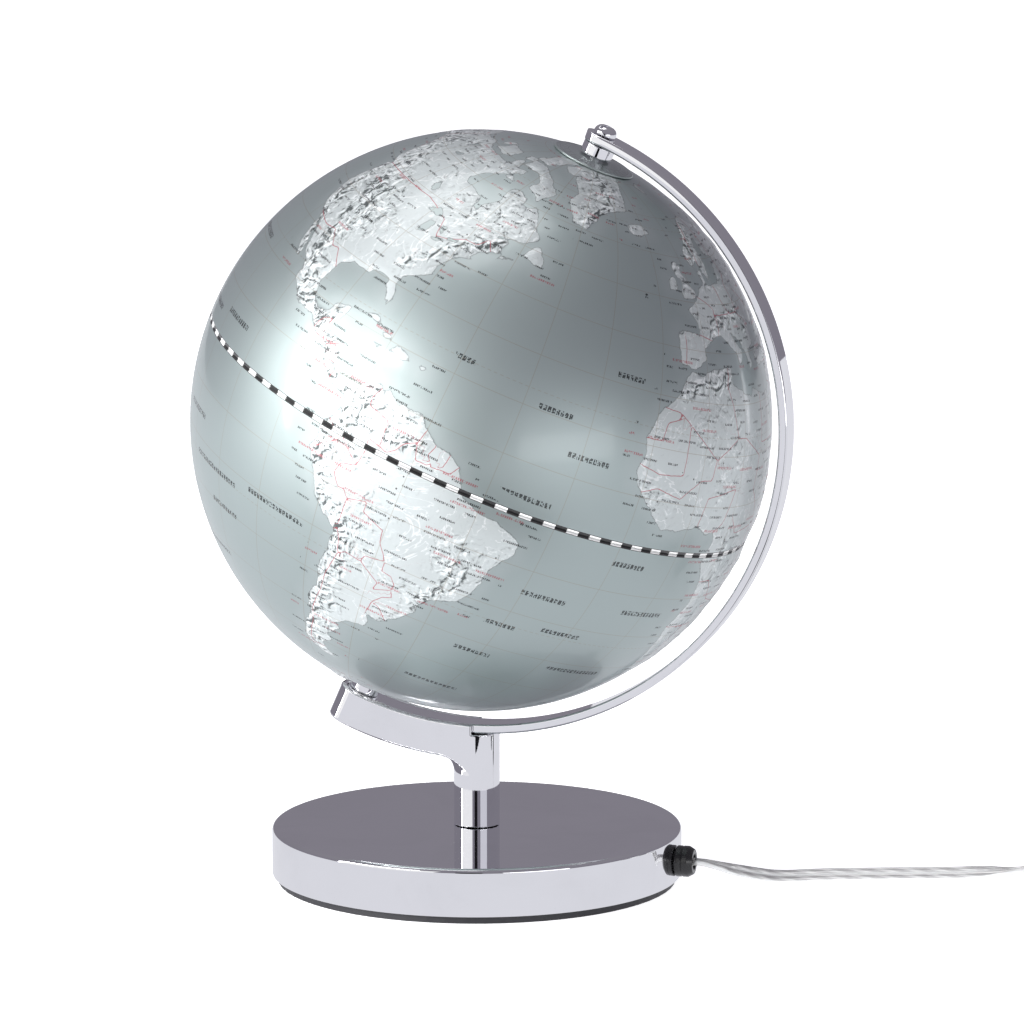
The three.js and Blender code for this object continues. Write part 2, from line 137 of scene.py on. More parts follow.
@dataclass
class Surface:
    """Points and faces of one piece, before it becomes a mesh.

    Quads and triangles are kept apart. Attributes are one number for each point, and uv is one
    pair for each corner of each quad, in the quads' order.
    """

    points: Array
    quads: Array
    triangles: Array = field(default_factory=lambda: np.zeros((0, 3), int))
    normals: Array | None = None
    attributes: dict[str, Array] = field(default_factory=dict)
    uv: Array | None = None

    def joined(self, other: "Surface") -> "Surface":
        """Returns this surface and the other as one, without attributes or uv."""
        n = len(self.points)
        normals = None
        if self.normals is not None and other.normals is not None:
            normals = np.concatenate([self.normals, other.normals])
        return Surface(
            np.concatenate([self.points, other.points]),
            np.concatenate([self.quads, other.quads + n]),
            np.concatenate([self.triangles, other.triangles + n]),
            normals,
        )

    def outward(self) -> "Surface":
        """Returns the surface with its faces turned outwards, told by the sign of its volume."""
        inside = signed_volume(self.points, self.quads) + signed_volume(self.points, self.triangles)
        if inside < 0:
            self.quads = self.quads[:, ::-1]
            self.triangles = self.triangles[:, ::-1]
            if self.uv is not None:
                self.uv = self.uv[:, ::-1]
        return self

    def area_normals(self) -> Array:
        """The unit normal at each point: the sum of its faces' normals, weighted by their areas."""
        total = np.zeros_like(self.points)
        for faces in (self.quads, self.triangles):
            if not len(faces):
                continue
            p = self.points[faces]
            cross = np.cross(p[:, 2] - p[:, 0], p[:, -1] - p[:, 1])
            for k in range(faces.shape[1]):
                np.add.at(total, faces[:, k], cross)
        return total / np.maximum(np.linalg.norm(total, axis=1, keepdims=True), 1e-12)

    def to_object(self, name: str) -> bpy.types.Object:
        """Makes a smooth mesh object of the surface, in metres, at the origin.

        Args:
            name: the object's name.

        Returns:
            The new object, linked to the scene.
        """
        self.outward()
        mesh = bpy.data.meshes.new(name)
        sizes = np.concatenate([np.full(len(self.quads), 4), np.full(len(self.triangles), 3)])
        starts = np.concatenate([[0], np.cumsum(sizes)[:-1]])
        loops = np.concatenate([self.quads.ravel(), self.triangles.ravel()])
        mesh.vertices.add(len(self.points))
        mesh.vertices.foreach_set("co", (self.points * MM).astype(np.float32).ravel())
        mesh.loops.add(len(loops))
        mesh.loops.foreach_set("vertex_index", loops.astype(np.int32))
        mesh.polygons.add(len(sizes))
        mesh.polygons.foreach_set("loop_start", starts.astype(np.int32))
        mesh.update(calc_edges=True)
        mesh.polygons.foreach_set("use_smooth", np.ones(len(sizes), bool))
        if self.uv is not None:
            layer = mesh.uv_layers.new(name="UVMap")
            flat = np.zeros((len(loops), 2), np.float32)
            flat[: self.quads.size] = self.uv.reshape(-1, 2)
            layer.data.foreach_set("uv", flat.ravel())
        for key, values in self.attributes.items():
            attribute = mesh.attributes.new(key, "FLOAT", "POINT")
            attribute.data.foreach_set("value", values.astype(np.float32))
        normals = self.area_normals() if self.normals is None else self.normals
        mesh.validate()
        mesh.normals_split_custom_set_from_vertices(normals.astype(np.float32))
        made = bpy.data.objects.new(name, mesh)
        bpy.context.scene.collection.objects.link(made)
        return made


def skinned(rings: Array, wrap_rings: bool = False) -> Surface:
    """The skin over a row of closed rings, with a fan over each end unless the row wraps.

    Args:
        rings: points, as rings by points on a ring by 3.
        wrap_rings: whether the last ring joins the first, which leaves no ends.

    Returns:
        The closed skin.
    """
    count, around = rings.shape[:2]
    points = rings.reshape(-1, 3)
    if wrap_rings:
        return Surface(points, quads_of(count + 1, around, True) % len(points))
    hubs = np.stack([rings[0].mean(0), rings[-1].mean(0)])
    here, last = np.arange(around), (count - 1) * around
    ahead = (here + 1) % around
    first_fan = np.stack([ahead, here, np.full(around, len(points))], -1)
    last_fan = np.stack([np.full(around, len(points) + 1), last + here, last + ahead], -1)
    fans = np.concatenate([first_fan, last_fan])
    return Surface(np.concatenate([points, hubs]), quads_of(count, around, True), fans)


def filleted(outline: Sequence[Sequence[float]], radius: float | Sequence[float], steps: int = 5,
             closed: bool = False) -> Array:
    """An outline whose corners are rounded with arcs.

    Each corner's arc touches both of its sides at radius / tan(half the corner's angle) from it,
    or just short of the middle of the shorter side where that is less.

    Args:
        outline: the corners, as pairs.
        radius: the radius of every corner, or one for each.
        steps: how many steps an arc has.
        closed: whether the last corner joins the first; otherwise the two ends stay sharp.

    Returns:
        The rounded outline's points.
    """
    corners = np.array(outline, float)
    count = len(corners)
    radii = np.broadcast_to(np.array(radius, float), count)
    out = []
    for i, corner in enumerate(corners):
        if (not closed and i in (0, count - 1)) or radii[i] <= 0:
            out.append(corner[None])
            continue
        before, after = corners[i - 1] - corner, corners[(i + 1) % count] - corner
        reach = MOST_OF_A_SIDE * min(np.linalg.norm(before), np.linalg.norm(after))
        u, v = before / np.linalg.norm(before), after / np.linalg.norm(after)
        half = 0.5 * math.acos(float(np.clip(u @ v, -1, 1)))
        if half > NEARLY_STRAIGHT:
            out.append(corner[None])
            continue
        touch = min(reach, radii[i] / math.tan(half))
        r = touch * math.tan(half)
        hub = corner + (u + v) / np.linalg.norm(u + v) * r / math.sin(half)
        a, b = corner + u * touch - hub, corner + v * touch - hub
        angle = math.acos(float(np.clip(a @ b / r**2, -1, 1)))
        t = np.linspace(0, 1, steps + 1)[:, None]
        out.append(hub + (np.sin((1 - t) * angle) * a + np.sin(t * angle) * b) / math.sin(angle))
    return np.concatenate(out)


def turned(profile: Array, place: Frame = STAND, sides: int = 128) -> Surface:
    """A profile turned about a frame's z axis: x = r cos a, y = r sin a, z = height.

    Args:
        profile: [radius, height] points; a profile that doesn't close on itself has its ends closed
            on the axis.
        place: the frame that holds the axis.
        sides: how many sides the turned form has.

    Returns:
        The closed surface.
    """
    closed = bool(np.allclose(profile[0], profile[-1]))
    rows = profile[:-1] if closed else profile[profile[:, 0] > 1e-6]
    angle = np.linspace(0, 2 * math.pi, sides, endpoint=False)
    r, h = rows[:, :1], rows[:, 1:]
    heights = np.broadcast_to(h, (len(rows), sides))
    rings = np.stack([r * np.cos(angle), r * np.sin(angle), heights], -1)
    return skinned(place.put(rings.reshape(-1, 3)).reshape(rings.shape), wrap_rings=closed)


def box_outline(width: float, height: float, radius: float, steps: int = 4) -> Array:
    """A rectangle about the origin with rounded corners, as pairs."""
    w, h = width / 2, height / 2
    return filleted([(-w, -h), (w, -h), (w, h), (-w, h)], radius, steps, closed=True)


# ---------------------------------------------------------------- cast forms


def soft_union(a: Array, b: Array, blend: float) -> Array:
    """The distance to two joined forms, with a round of about blend where they meet."""
    h = np.clip(0.5 + 0.5 * (b - a) / blend, 0, 1)
    return b * (1 - h) + a * h - blend * h * (1 - h)


def soft_cut(a: Array, b: Array, blend: float) -> Array:
    """The distance to what two forms share, with their meeting edge rounded by about blend."""
    return -soft_union(-a, -b, blend)


def prism_distance(points: Array, corners: Sequence[Sequence[float]], low: float, high: float,
                   radius: float) -> Array:
    """The distance to a convex outline in XY raised from low to high, with rounded edges.

    The distance to the outline is the largest distance to its sides' lines.
    """
    outline = np.array(corners, float)
    side = np.roll(outline, -1, 0) - outline
    normal = np.stack([side[:, 1], -side[:, 0]], -1) / np.linalg.norm(side, axis=1, keepdims=True)
    flat = np.full(len(points), -FAR)
    for start, out in zip(outline, normal):
        flat = soft_cut(flat, (points[:, :2] - start) @ out, radius)
    tall = np.maximum(low - points[:, 2], points[:, 2] - high)
    inset = np.stack([flat, tall], -1) + radius
    outside = np.linalg.norm(np.maximum(inset, 0), axis=1)
    return outside + np.minimum(inset.max(1), 0) - radius


def cast(distance: Callable[[Array], Array], low: Sequence[float], high: Sequence[float], step: float,
         place: Frame = STAND) -> Surface:
    """The skin of a form given by its distance function, as surface nets.

    The space is cut into cubes. Each cube that the skin crosses gets one point, at the mean of the
    crossings of its edges, and each crossed edge gets a quad through its four cubes. The points are
    then moved onto the skin along the distance's gradient, which also gives the normals.

    Args:
        distance: gives the distance of each point of an array, negative inside.
        low: the lowest corner of the space, in the frame's millimetres.
        high: its highest corner.
        step: the side of a cube.
        place: the frame that the form is made in.

    Returns:
        The closed skin with its normals.
    """
    low, high = np.array(low, float), np.array(high, float)
    shape = np.ceil((high - low) / step).astype(int) + 2
    axes = [low[k] - step / 2 + step * np.arange(shape[k]) for k in range(3)]
    grid = np.stack(np.meshgrid(*axes, indexing="ij"), -1)
    value = distance(grid.reshape(-1, 3)).reshape(shape)
    cells = shape - 1
    total, crossings = np.zeros((*cells, 3)), np.zeros(cells)
    for axis in range(3):
        ahead = np.roll(value, -1, axis)
        part = tuple(slice(0, -1) if k == axis else slice(None) for k in range(3))
        a, b = value[part], ahead[part]
        crossed = (a < 0) != (b < 0)
        t = np.where(crossed, a / np.where(crossed, a - b, 1), 0)
        at = grid[part].copy()
        at[..., axis] += t * step
        others = [k for k in range(3) if k != axis]
        for shift in ((0, 0), (0, 1), (1, 0), (1, 1)):
            source = [slice(None)] * 3
            for other, s in zip(others, shift):
                source[other] = slice(s, s + cells[other])
            seen = crossed[tuple(source)]
            total += np.where(seen[..., None], at[tuple(source)], 0)
            crossings += seen
    used = crossings > 0
    number = np.full(cells, -1)
    number[used] = np.arange(used.sum())
    points = total[used] / crossings[used][:, None]
    quads = []
    for axis in range(3):
        part = tuple(slice(0, -1) if k == axis else slice(1, -1) for k in range(3))
        a = value[part]
        b = np.roll(value, -1, axis)[part]
        edges = np.argwhere((a < 0) != (b < 0))
        rising = a[tuple(edges.T)] < 0
        edges = edges + np.array([0 if k == axis else 1 for k in range(3)])
        u, v = [(axis + 1) % 3, (axis + 2) % 3]
        around = []
        for du, dv in ((-1, -1), (0, -1), (0, 0), (-1, 0)):
            cell = edges.copy()
            cell[:, u] += du
            cell[:, v] += dv
            around.append(number[tuple(cell.T)])
        face = np.stack(around, -1)
        quads.append(np.where(rising[:, None], face, face[:, ::-1]))
    quads = np.concatenate(quads)
    for _ in range(4):
        slope = gradient(distance, points)
        size = np.maximum(np.einsum("ij,ij->i", slope, slope), 0.05)
        points = points - slope * np.clip(distance(points) / size, -step, step)[:, None]
    slope = gradient(distance, points)
    normals = slope / np.maximum(np.linalg.norm(slope, axis=1, keepdims=True), 1e-9)
    return Surface(place.put(points), quads, normals=place.turn(normals))


def gradient(distance: Callable[[Array], Array], points: Array, reach: float = 0.02) -> Array:
    """The slope of a distance function: differences over twice the reach along each axis."""
    parts = []
    for axis in range(3):
        offset = np.zeros(3)
        offset[axis] = reach
        parts.append((distance(points + offset) - distance(points - offset)) / (2 * reach))
    return np.stack(parts, -1)


# ---------------------------------------------------------------- shader expressions


class Value:
    """A number socket that takes part in Python arithmetic; each operation adds a Math node."""

    def __init__(self, tree: "Tree", socket: bpy.types.NodeSocket) -> None:
        """Keeps the tree and the socket that gives the number."""
        self.tree = tree
        self.socket = socket

    def math(self, operation: str, *others: "Value | float") -> "Value":
        """Returns the result of a Math node on this number and the others."""
        return self.tree.number("ShaderNodeMath", {"operation": operation}, self, *others)

    def __add__(self, other: "Value | float") -> "Value":
        """This number plus the other."""
        return self.math("ADD", other)

    def __radd__(self, other: float) -> "Value":
        """The other plus this number."""
        return self.math("ADD", other)

    def __sub__(self, other: "Value | float") -> "Value":
        """This number less the other."""
        return self.math("SUBTRACT", other)

    def __rsub__(self, other: float) -> "Value":
        """The other less this number."""
        return self.tree.number("ShaderNodeMath", {"operation": "SUBTRACT"}, other, self)

    def __mul__(self, other: "Value | float") -> "Value":
        """This number times the other."""
        return self.math("MULTIPLY", other)

    def __rmul__(self, other: float) -> "Value":
        """The other times this number."""
        return self.math("MULTIPLY", other)

    def __truediv__(self, other: "Value | float") -> "Value":
        """This number divided by the other."""
        return self.math("DIVIDE", other)

    def __lt__(self, other: "Value | float") -> "Value":
        """1 where this number is below the other, and 0 elsewhere."""
        return self.math("LESS_THAN", other)

    def __gt__(self, other: "Value | float") -> "Value":
        """1 where this number is above the other, and 0 elsewhere."""
        return self.math("GREATER_THAN", other)

    def __abs__(self) -> "Value":
        """This number without its sign."""
        return self.math("ABSOLUTE")

    def ramp(self, low: float, high: float, smooth: bool = True) -> "Value":
        """0 at low and below, 1 at high and above, and a smooth or straight rise between."""
        kind = "SMOOTHSTEP" if smooth else "LINEAR"
        node = self.tree.node("ShaderNodeMapRange", {"interpolation_type": kind}, self)
        node.inputs["From Min"].default_value = low
        node.inputs["From Max"].default_value = high
        return Value(self.tree, node.outputs[0])

    def highest(self, *others: "Value") -> "Value":
        """The highest of this number and the others, which joins masks."""
        most = self
        for other in others:
            most = most.math("MAXIMUM", other)
        return most

    def nearest(self, spacing: float) -> "Value":
        """How far this number is from the nearest whole multiple of the spacing."""
        return abs(self.math("WRAP", spacing / 2, -spacing / 2))


class Tree:
    """The nodes of a material or a world, with one method that makes any of them."""

    def __init__(self, name: str, world: bool = False) -> None:
        """Starts an empty material or world of that name with its output."""
        self.owner = (bpy.data.worlds if world else bpy.data.materials).new(name)
        self.owner.use_nodes = True
        self.nodes = self.owner.node_tree.nodes
        self.links = self.owner.node_tree.links
        self.nodes.clear()
        self.output = self.node("ShaderNodeOutputWorld" if world else "ShaderNodeOutputMaterial")

    def feed(self, socket: bpy.types.NodeSocket, value: object) -> None:
        """Links a socket or Value to an input, or sets its number or colour."""
        if isinstance(value, Value):
            self.links.new(value.socket, socket)
        elif isinstance(value, bpy.types.NodeSocket):
            self.links.new(value, socket)
        elif value is not None:
            if socket.type == "RGBA" and isinstance(value, tuple) and len(value) == 3:
                value = (*value, 1.0)
            socket.default_value = value

    def node(self, kind: str, settings: dict | None = None, *values: object,
             **named: object) -> bpy.types.Node:
        """Adds a node.

        Args:
            kind: the node's type.
            settings: its properties, set first; "stops" gives a ramp's (place, colour) pairs.
            values: what its inputs take, in order; None leaves one alone.
            named: what inputs take by name, with _ for a space.

        Returns:
            The node.
        """
        made = self.nodes.new(kind)
        for key, setting in (settings or {}).items():
            if key == "stops":
                elements = made.color_ramp.elements
                while len(elements) < len(setting):
                    elements.new(0.5)
                for element, (place, colour) in zip(elements, setting):
                    element.position = place
                    element.color = (*colour, 1.0)
            else:
                setattr(made, key, setting)
        for socket, value in zip(made.inputs, values):
            self.feed(socket, value)
        for key, value in named.items():
            self.feed(made.inputs[key.replace("_", " ")], value)
        return made

    def number(self, kind: str, settings: dict | None, *values: object, **named: object) -> Value:
        """Adds a node and returns its first output as a Value."""
        return Value(self, self.node(kind, settings, *values, **named).outputs[0])

    def object_place(self, scale: Sequence[float] = (1, 1, 1)) -> bpy.types.NodeSocket:
        """Object coordinates, in metres, times a scale for each axis."""
        coordinates = self.node("ShaderNodeTexCoord").outputs["Object"]
        return self.node("ShaderNodeMapping", None, coordinates, Scale=tuple(scale)).outputs[0]

    def framed_place(self, place: Frame) -> tuple["Value", "Value", "Value"]:
        """Object coordinates turned into a frame that leans about the stand's y, in millimetres."""
        lean = math.atan2(float(place.z[0]), float(place.z[2]))
        axes = np.stack([place.x, place.y, place.z])
        shift = tuple(-(axes @ place.origin))
        metres = self.object_place((1 / MM, 1 / MM, 1 / MM))
        turned_place = self.node("ShaderNodeMapping", None, metres, shift, (0, -lean, 0)).outputs[0]
        split = self.node("ShaderNodeSeparateXYZ", None, turned_place)
        return tuple(Value(self, split.outputs[k]) for k in range(3))

    def noise(self, place: bpy.types.NodeSocket, size_mm: float, detail: float = 3, rough: float = 0.5,
              warp: float = 0.0) -> Value:
        """Noise from 0 to 1 whose largest features are about size_mm across."""
        node = self.node("ShaderNodeTexNoise", None, Vector=place, Scale=1000 / size_mm, Detail=detail,
                         Roughness=rough, Distortion=warp)
        return Value(self, node.outputs["Fac"] if "Fac" in node.outputs else node.outputs[0])

    def attribute(self, name: str) -> Value:
        """A mesh attribute's number."""
        return Value(self, self.node("ShaderNodeAttribute", {"attribute_name": name}).outputs["Fac"])

    def mix(self, factor: "Value | float", first: object, second: object) -> bpy.types.NodeSocket:
        """The first colour where the factor is 0, and the second where it is 1."""
        made = self.node("ShaderNodeMix", {"data_type": "RGBA"})
        self.feed(made.inputs[0], factor)
        self.feed(made.inputs[6], first)
        self.feed(made.inputs[7], second)
        return made.outputs[2]

    def bump(self, height: Value, depth_mm: float, strength: float = 1.0) -> bpy.types.NodeSocket:
        """A normal for a height from 0 to 1 that is depth_mm deep."""
        return self.node("ShaderNodeBump", None, Strength=strength, Distance=depth_mm * MM,
                         Height=height).outputs[0]

    def surface(self, **named: object) -> bpy.types.Material:
        """Ends the tree in a Principled shader with those inputs and returns the material."""
        shader = self.node("ShaderNodeBsdfPrincipled", None, **named)
        self.feed(self.output.inputs["Surface"], shader.outputs[0])
        return self.owner


# ---------------------------------------------------------------- the map

LonLat = Sequence[tuple[float, float]]

LANDS: dict[str, LonLat] = {
    "north_america": (
        (-168, 65.6), (-162, 66.5), (-166, 68.3), (-156.5, 71.3), (-141, 69.6), (-134, 69.5),
        (-128, 70.5), (-115, 68), (-108, 68), (-101, 67.8), (-95, 68), (-94, 71.8), (-88, 68.5),
        (-81.5, 69), (-82, 67), (-87, 64.2), (-93, 62), (-94.5, 58.8), (-92.5, 57), (-88, 56.5),
        (-82.3, 55.2), (-82, 53), (-79.5, 51.3), (-79.5, 54.8), (-76.6, 57.2), (-78.3, 60),
        (-77.5, 62.5), (-73.5, 62.3), (-69.5, 61), (-69.8, 58.9), (-66, 58.8), (-64.5, 60.3),
        (-61.8, 57.5), (-60, 55.2), (-56, 52.6), (-58.5, 51.3), (-60.2, 50.1), (-66.5, 50.2),
        (-69.5, 48), (-66.2, 49.2), (-64.5, 48.7), (-65, 47.1), (-64, 46.1), (-60, 46), (-63.5, 44.6),
        (-66.1, 43.6), (-64.8, 45.3), (-67, 44.9), (-70, 43.7), (-70.8, 42.5), (-69.9, 41.8),
        (-73.9, 40.6), (-75.2, 38.6), (-76, 37), (-75.5, 35.3), (-77.9, 33.9), (-81.1, 32),
        (-81.3, 29.8), (-80.1, 26.8), (-80.4, 25.2), (-81.8, 26.1), (-82.8, 28), (-84, 30.1),
        (-88, 30.3), (-89.3, 29.2), (-94.5, 29.5), (-97.3, 27.6), (-97.8, 22.4), (-96.2, 19.2),
        (-94.5, 18.2), (-91.5, 18.6), (-90.5, 20.8), (-87, 21.5), (-88.2, 17.5), (-88.7, 15.8),
        (-83.2, 15), (-83.7, 11.1), (-82.2, 9.2), (-79.8, 9.5), (-77.4, 8.6), (-77.9, 7.2),
        (-80.3, 7.4), (-82.9, 8.2), (-85.7, 10), (-87.6, 12.9), (-91.5, 14), (-94.3, 16.2),
        (-99.8, 16.8), (-105.5, 20), (-105.4, 22), (-109.3, 25.8), (-112.8, 30), (-114.8, 31.7),
        (-112.8, 28), (-109.6, 23.2), (-110, 22.9), (-112.2, 25), (-114.2, 28.3), (-117.1, 32.5),
        (-120.6, 34.5), (-122.4, 37.5), (-124.3, 40.4), (-124, 46.2), (-124.7, 48.4), (-122.8, 49),
        (-127.5, 51), (-130.3, 54.6), (-134, 58), (-139.7, 59.6), (-146, 60.8), (-151.5, 59.2),
        (-154, 59), (-158, 56.5), (-164.5, 54.6), (-157.5, 58.7), (-162, 58.7), (-165.5, 61.5),
        (-161, 64.5),
    ),
    "south_america": (
        (-77.4, 8.6), (-75.5, 10.6), (-71.9, 12.2), (-71.6, 11), (-70, 12), (-68.3, 10.8),
        (-64.8, 10.2), (-62, 10.7), (-60.5, 8.6), (-57.2, 6), (-54, 5.8), (-51.6, 4.2), (-50, 1.2),
        (-48.4, -0.8), (-44.4, -2.4), (-41.3, -2.9), (-38.5, -3.7), (-35.3, -5.2), (-34.9, -7.9),
        (-37.1, -11), (-38.5, -13), (-39.1, -16.4), (-39.8, -19.6), (-41, -22), (-43.2, -23),
        (-46.3, -24), (-48.6, -26.2), (-48.6, -28.4), (-50.5, -30.8), (-53.4, -33.9), (-55, -34.9),
        (-58.3, -34), (-57, -36.3), (-57.7, -38.1), (-62.2, -38.9), (-65, -41), (-63.7, -42.6),
        (-65.3, -45), (-67.5, -46.2), (-65.8, -47.8), (-68.9, -50.5), (-68.3, -52.4), (-65.2, -54.7),
        (-68.5, -55.5), (-72.5, -53.8), (-75.4, -50.5), (-74.3, -46), (-72.8, -42), (-73.6, -37.2),
        (-71.6, -33), (-71.5, -28.5), (-70.3, -23.5), (-70.3, -18.3), (-76.3, -13.8), (-79.5, -7.5),
        (-81.2, -5.2), (-79.9, -2.8), (-80.9, -1), (-80, 0.8), (-78.7, 1.6), (-77.4, 3.9), (-77.3, 6),
        (-77.9, 7.2),
    ),
    "greenland": (
        (-73, 78.2), (-60, 82.2), (-32, 83.6), (-12.5, 81.4), (-19, 77), (-20, 74.5), (-22, 70.2),
        (-32, 68), (-38, 65.8), (-42.8, 60), (-48.2, 61), (-51.5, 64.2), (-53.7, 67), (-51, 69.8),
        (-58, 75.5), (-66, 76),
    ),
    "baffin": (
        (-61.5, 66.5), (-64.5, 63.3), (-66, 62), (-74, 64.6), (-73, 67.5), (-78, 69.8), (-89, 70.5),
        (-89.5, 73.5), (-80, 73.7), (-76, 72.8), (-68, 70.5),
    ),
    "ellesmere": ((-77, 76.5), (-89, 76.5), (-90, 80.5), (-80, 83), (-62, 82.5), (-72, 79)),
    "victoria": ((-117, 69.8), (-105, 69), (-101.5, 70), (-105, 73.3), (-117.5, 73.2), (-116, 71)),
    "banks": ((-125, 72), (-121, 71.5), (-119.5, 74), (-124, 74.2)),
    "devon": ((-92, 74.8), (-80, 74.6), (-80, 75.7), (-92, 76.3)),
    "somerset": ((-95, 72.2), (-90.5, 72.8), (-91, 74), (-95, 74)),
    "southampton": ((-87, 64), (-80.5, 63.7), (-84, 65.8)),
    "newfoundland": (
        (-59.3, 47.7), (-55.5, 46.9), (-53, 46.8), (-53.5, 48.6), (-55.8, 51.4), (-57.5, 50.5),
    ),
    "cuba": ((-84.9, 21.9), (-80.5, 23.1), (-74.2, 20.2), (-77.7, 19.9), (-78.2, 20.9), (-82, 22.4)),
    "hispaniola": ((-74.4, 18.4), (-72.8, 19.9), (-68.4, 18.6), (-71, 18)),
    "jamaica": ((-78.3, 18.4), (-76.3, 18.1), (-77.1, 17.8)),
    "puerto_rico": ((-67.2, 18.5), (-65.6, 18.4), (-66.4, 17.9)),
    "iceland": ((-24, 65.5), (-16, 66.5), (-13.6, 65), (-18.5, 63.4), (-22.6, 63.9)),
    "britain": (
        (-5.6, 50.1), (-5.2, 51.8), (-4.4, 53.2), (-3.1, 54.9), (-5.1, 55.5), (-5.8, 57.5), (-5, 58.6),
        (-3.1, 58.6), (-2, 57.6), (-3, 56), (0.2, 53), (1.7, 52.6), (1, 51.2), (-1.2, 50.7),
        (-3.6, 50.3),
    ),
    "ireland": ((-10, 52), (-9.5, 54.2), (-7.3, 55.3), (-5.6, 54.5), (-6.3, 52.2)),
    "africa": (
        (-5.9, 35.8), (-2, 35.1), (3, 36.9), (10.2, 37.3), (10.2, 34.2), (15.2, 32.3), (20, 31),
        (20.5, 32.8), (23.2, 32.2), (29, 30.9), (32.3, 31.2), (32.6, 29.9), (35.5, 24), (38.6, 18),
        (43.2, 12.6), (44.5, 10.5), (51.2, 11.9), (47.5, 4), (42.5, -0.8), (39, -6), (40.6, -10.8),
        (40.7, -15), (36.2, -18.8), (35.3, -22.5), (32.8, -26.2), (31, -29.8), (27.5, -33.2),
        (22, -34.1), (18.4, -34.2), (15.3, -27.2), (14.4, -22.7), (11.8, -17.3), (13.7, -11),
        (12.3, -6), (9, -1.2), (9.6, 3.5), (8.8, 4.6), (6, 4.3), (2.5, 6.3), (-2, 4.8), (-7.6, 4.4),
        (-13.5, 9.5), (-16.8, 12.4), (-17.4, 14.7), (-16.2, 18.5), (-17, 21), (-14.8, 25.5),
        (-13, 27.8), (-9.8, 30),
    ),
    "madagascar": ((49.3, -12), (50.4, -15.8), (47.2, -25), (44, -25), (43.5, -21.5), (44.4, -16.5)),
    "eurasia": (
        (-9.4, 38.7), (-9, 37), (-6.4, 36.7), (-5.5, 36), (-2, 36.8), (0, 38.8), (0.5, 40.6),
        (3.2, 42.3), (5, 43.4), (8.8, 44.3), (12.3, 41.7), (15.7, 40), (15.7, 38), (17, 39),
        (18.4, 40.2), (13.6, 43.6), (12.4, 45.3), (13.8, 44.9), (19.5, 41.8), (21.7, 36.8),
        (23.5, 37.5), (22.8, 40.4), (26, 40.8), (28.9, 41), (28, 43.4), (30.5, 46), (33.5, 44.5),
        (36.5, 45.3), (39, 47.2), (37.5, 45), (41.5, 41.6), (31.5, 41.3), (26.4, 40), (27.3, 37),
        (30.6, 36.8), (36, 36.6), (35, 32.8), (34.2, 31.3), (32.6, 29.9), (34.9, 29.4), (39.1, 21.4),
        (43.5, 12.8), (45, 12.9), (52.2, 15.6), (59.8, 22.5), (56.3, 26.3), (54, 24.1), (50.1, 26.6),
        (48, 30), (50.8, 29), (57.2, 26.8), (61.5, 25.1), (66.6, 25), (69, 22.3), (72.7, 21),
        (73.2, 17), (77.5, 8.1), (80.2, 13), (80.2, 15.5), (86.8, 21), (91.8, 22.4), (94.3, 16),
        (97.5, 16.5), (98.6, 10), (103.5, 1.4), (103.4, 4.5), (100, 8.5), (100.5, 13.5), (105, 8.7),
        (109.2, 12), (106, 18.5), (108, 21.6), (114, 22.4), (119, 25.5), (121.8, 29.5), (119.3, 35),
        (122.5, 37.2), (118, 39), (121.5, 39), (125, 39.8), (126.4, 34.5), (129.3, 35.3), (127.5, 39.7),
        (131, 43), (140.3, 48.5), (141.2, 53), (137, 54), (143, 59.3), (155, 59.3), (162.5, 61.7),
        (156, 57), (156.5, 51), (162.5, 57), (170.5, 60), (179.5, 62.5), (190, 66), (180, 69),
        (160, 69.7), (150, 71.5), (129, 71), (113.5, 73.6), (104.3, 77.7), (80.5, 73.5), (73, 68),
        (72, 72.8), (67, 69.5), (60.5, 69.7), (44, 66.2), (40, 64.6), (33, 66.7), (41, 66.8),
        (33, 69.4), (28, 71), (14.5, 67.5), (10.5, 64), (5.2, 62), (5.2, 59), (7, 58), (10.5, 59.3),
        (12.8, 55.5), (14.3, 55.5), (18, 59.2), (17.3, 61.5), (21.5, 64.5), (25.3, 65), (21.5, 61),
        (29.8, 60), (23.6, 58), (21, 55.3), (14, 54), (10.9, 54), (10.7, 57.6), (8.2, 57), (8.6, 54),
        (4.7, 53), (1.6, 50.8), (-1.5, 49.6), (-4.7, 48.4), (-1.2, 46), (-1.5, 43.5), (-8, 43.7),
        (-9.3, 43),
    ),
    "japan": (
        (130, 31.2), (130, 33.6), (136.8, 37.3), (140, 41.3), (141.8, 45.4), (145.3, 43.4),
        (141.3, 41.2), (142, 39.5), (140.8, 36), (135.8, 33.5), (132, 32),
    ),
    "luzon": ((120.3, 16), (120.8, 18.5), (122.2, 18.3), (124, 12.7), (120.7, 13.9)),
    "mindanao": ((122, 7), (125.4, 9.7), (126.4, 7), (125.5, 5.7)),
    "borneo": (
        (109, 1.5), (113, 3.2), (116.8, 7), (119, 5), (117.7, 1), (116.2, -3.8), (111.5, -3.4),
        (110, -1.5),
    ),
    "sumatra": ((95.3, 5.6), (98.5, 4), (104, -1), (105.8, -5.8), (102, -4), (98.7, 1.5)),
    "java": ((105.2, -6.5), (114.4, -7.6), (114.4, -8.7), (106, -7.6)),
    "sulawesi": ((119.5, -5.5), (119.8, 0.5), (125, 1.6), (121.2, 0.2), (123, -4.5), (120.8, -3)),
    "new_guinea": (
        (131, -0.8), (134, -0.8), (135, -3.3), (141, -2.6), (147.8, -6.2), (150.8, -10.4),
        (143.5, -8.5), (138, -8.3), (138.5, -5.6), (132, -3.2),
    ),
    "australia": (
        (142.5, -10.7), (140.9, -17.5), (136, -15.5), (136.8, -12.2), (132.6, -11.4), (129.5, -14.9),
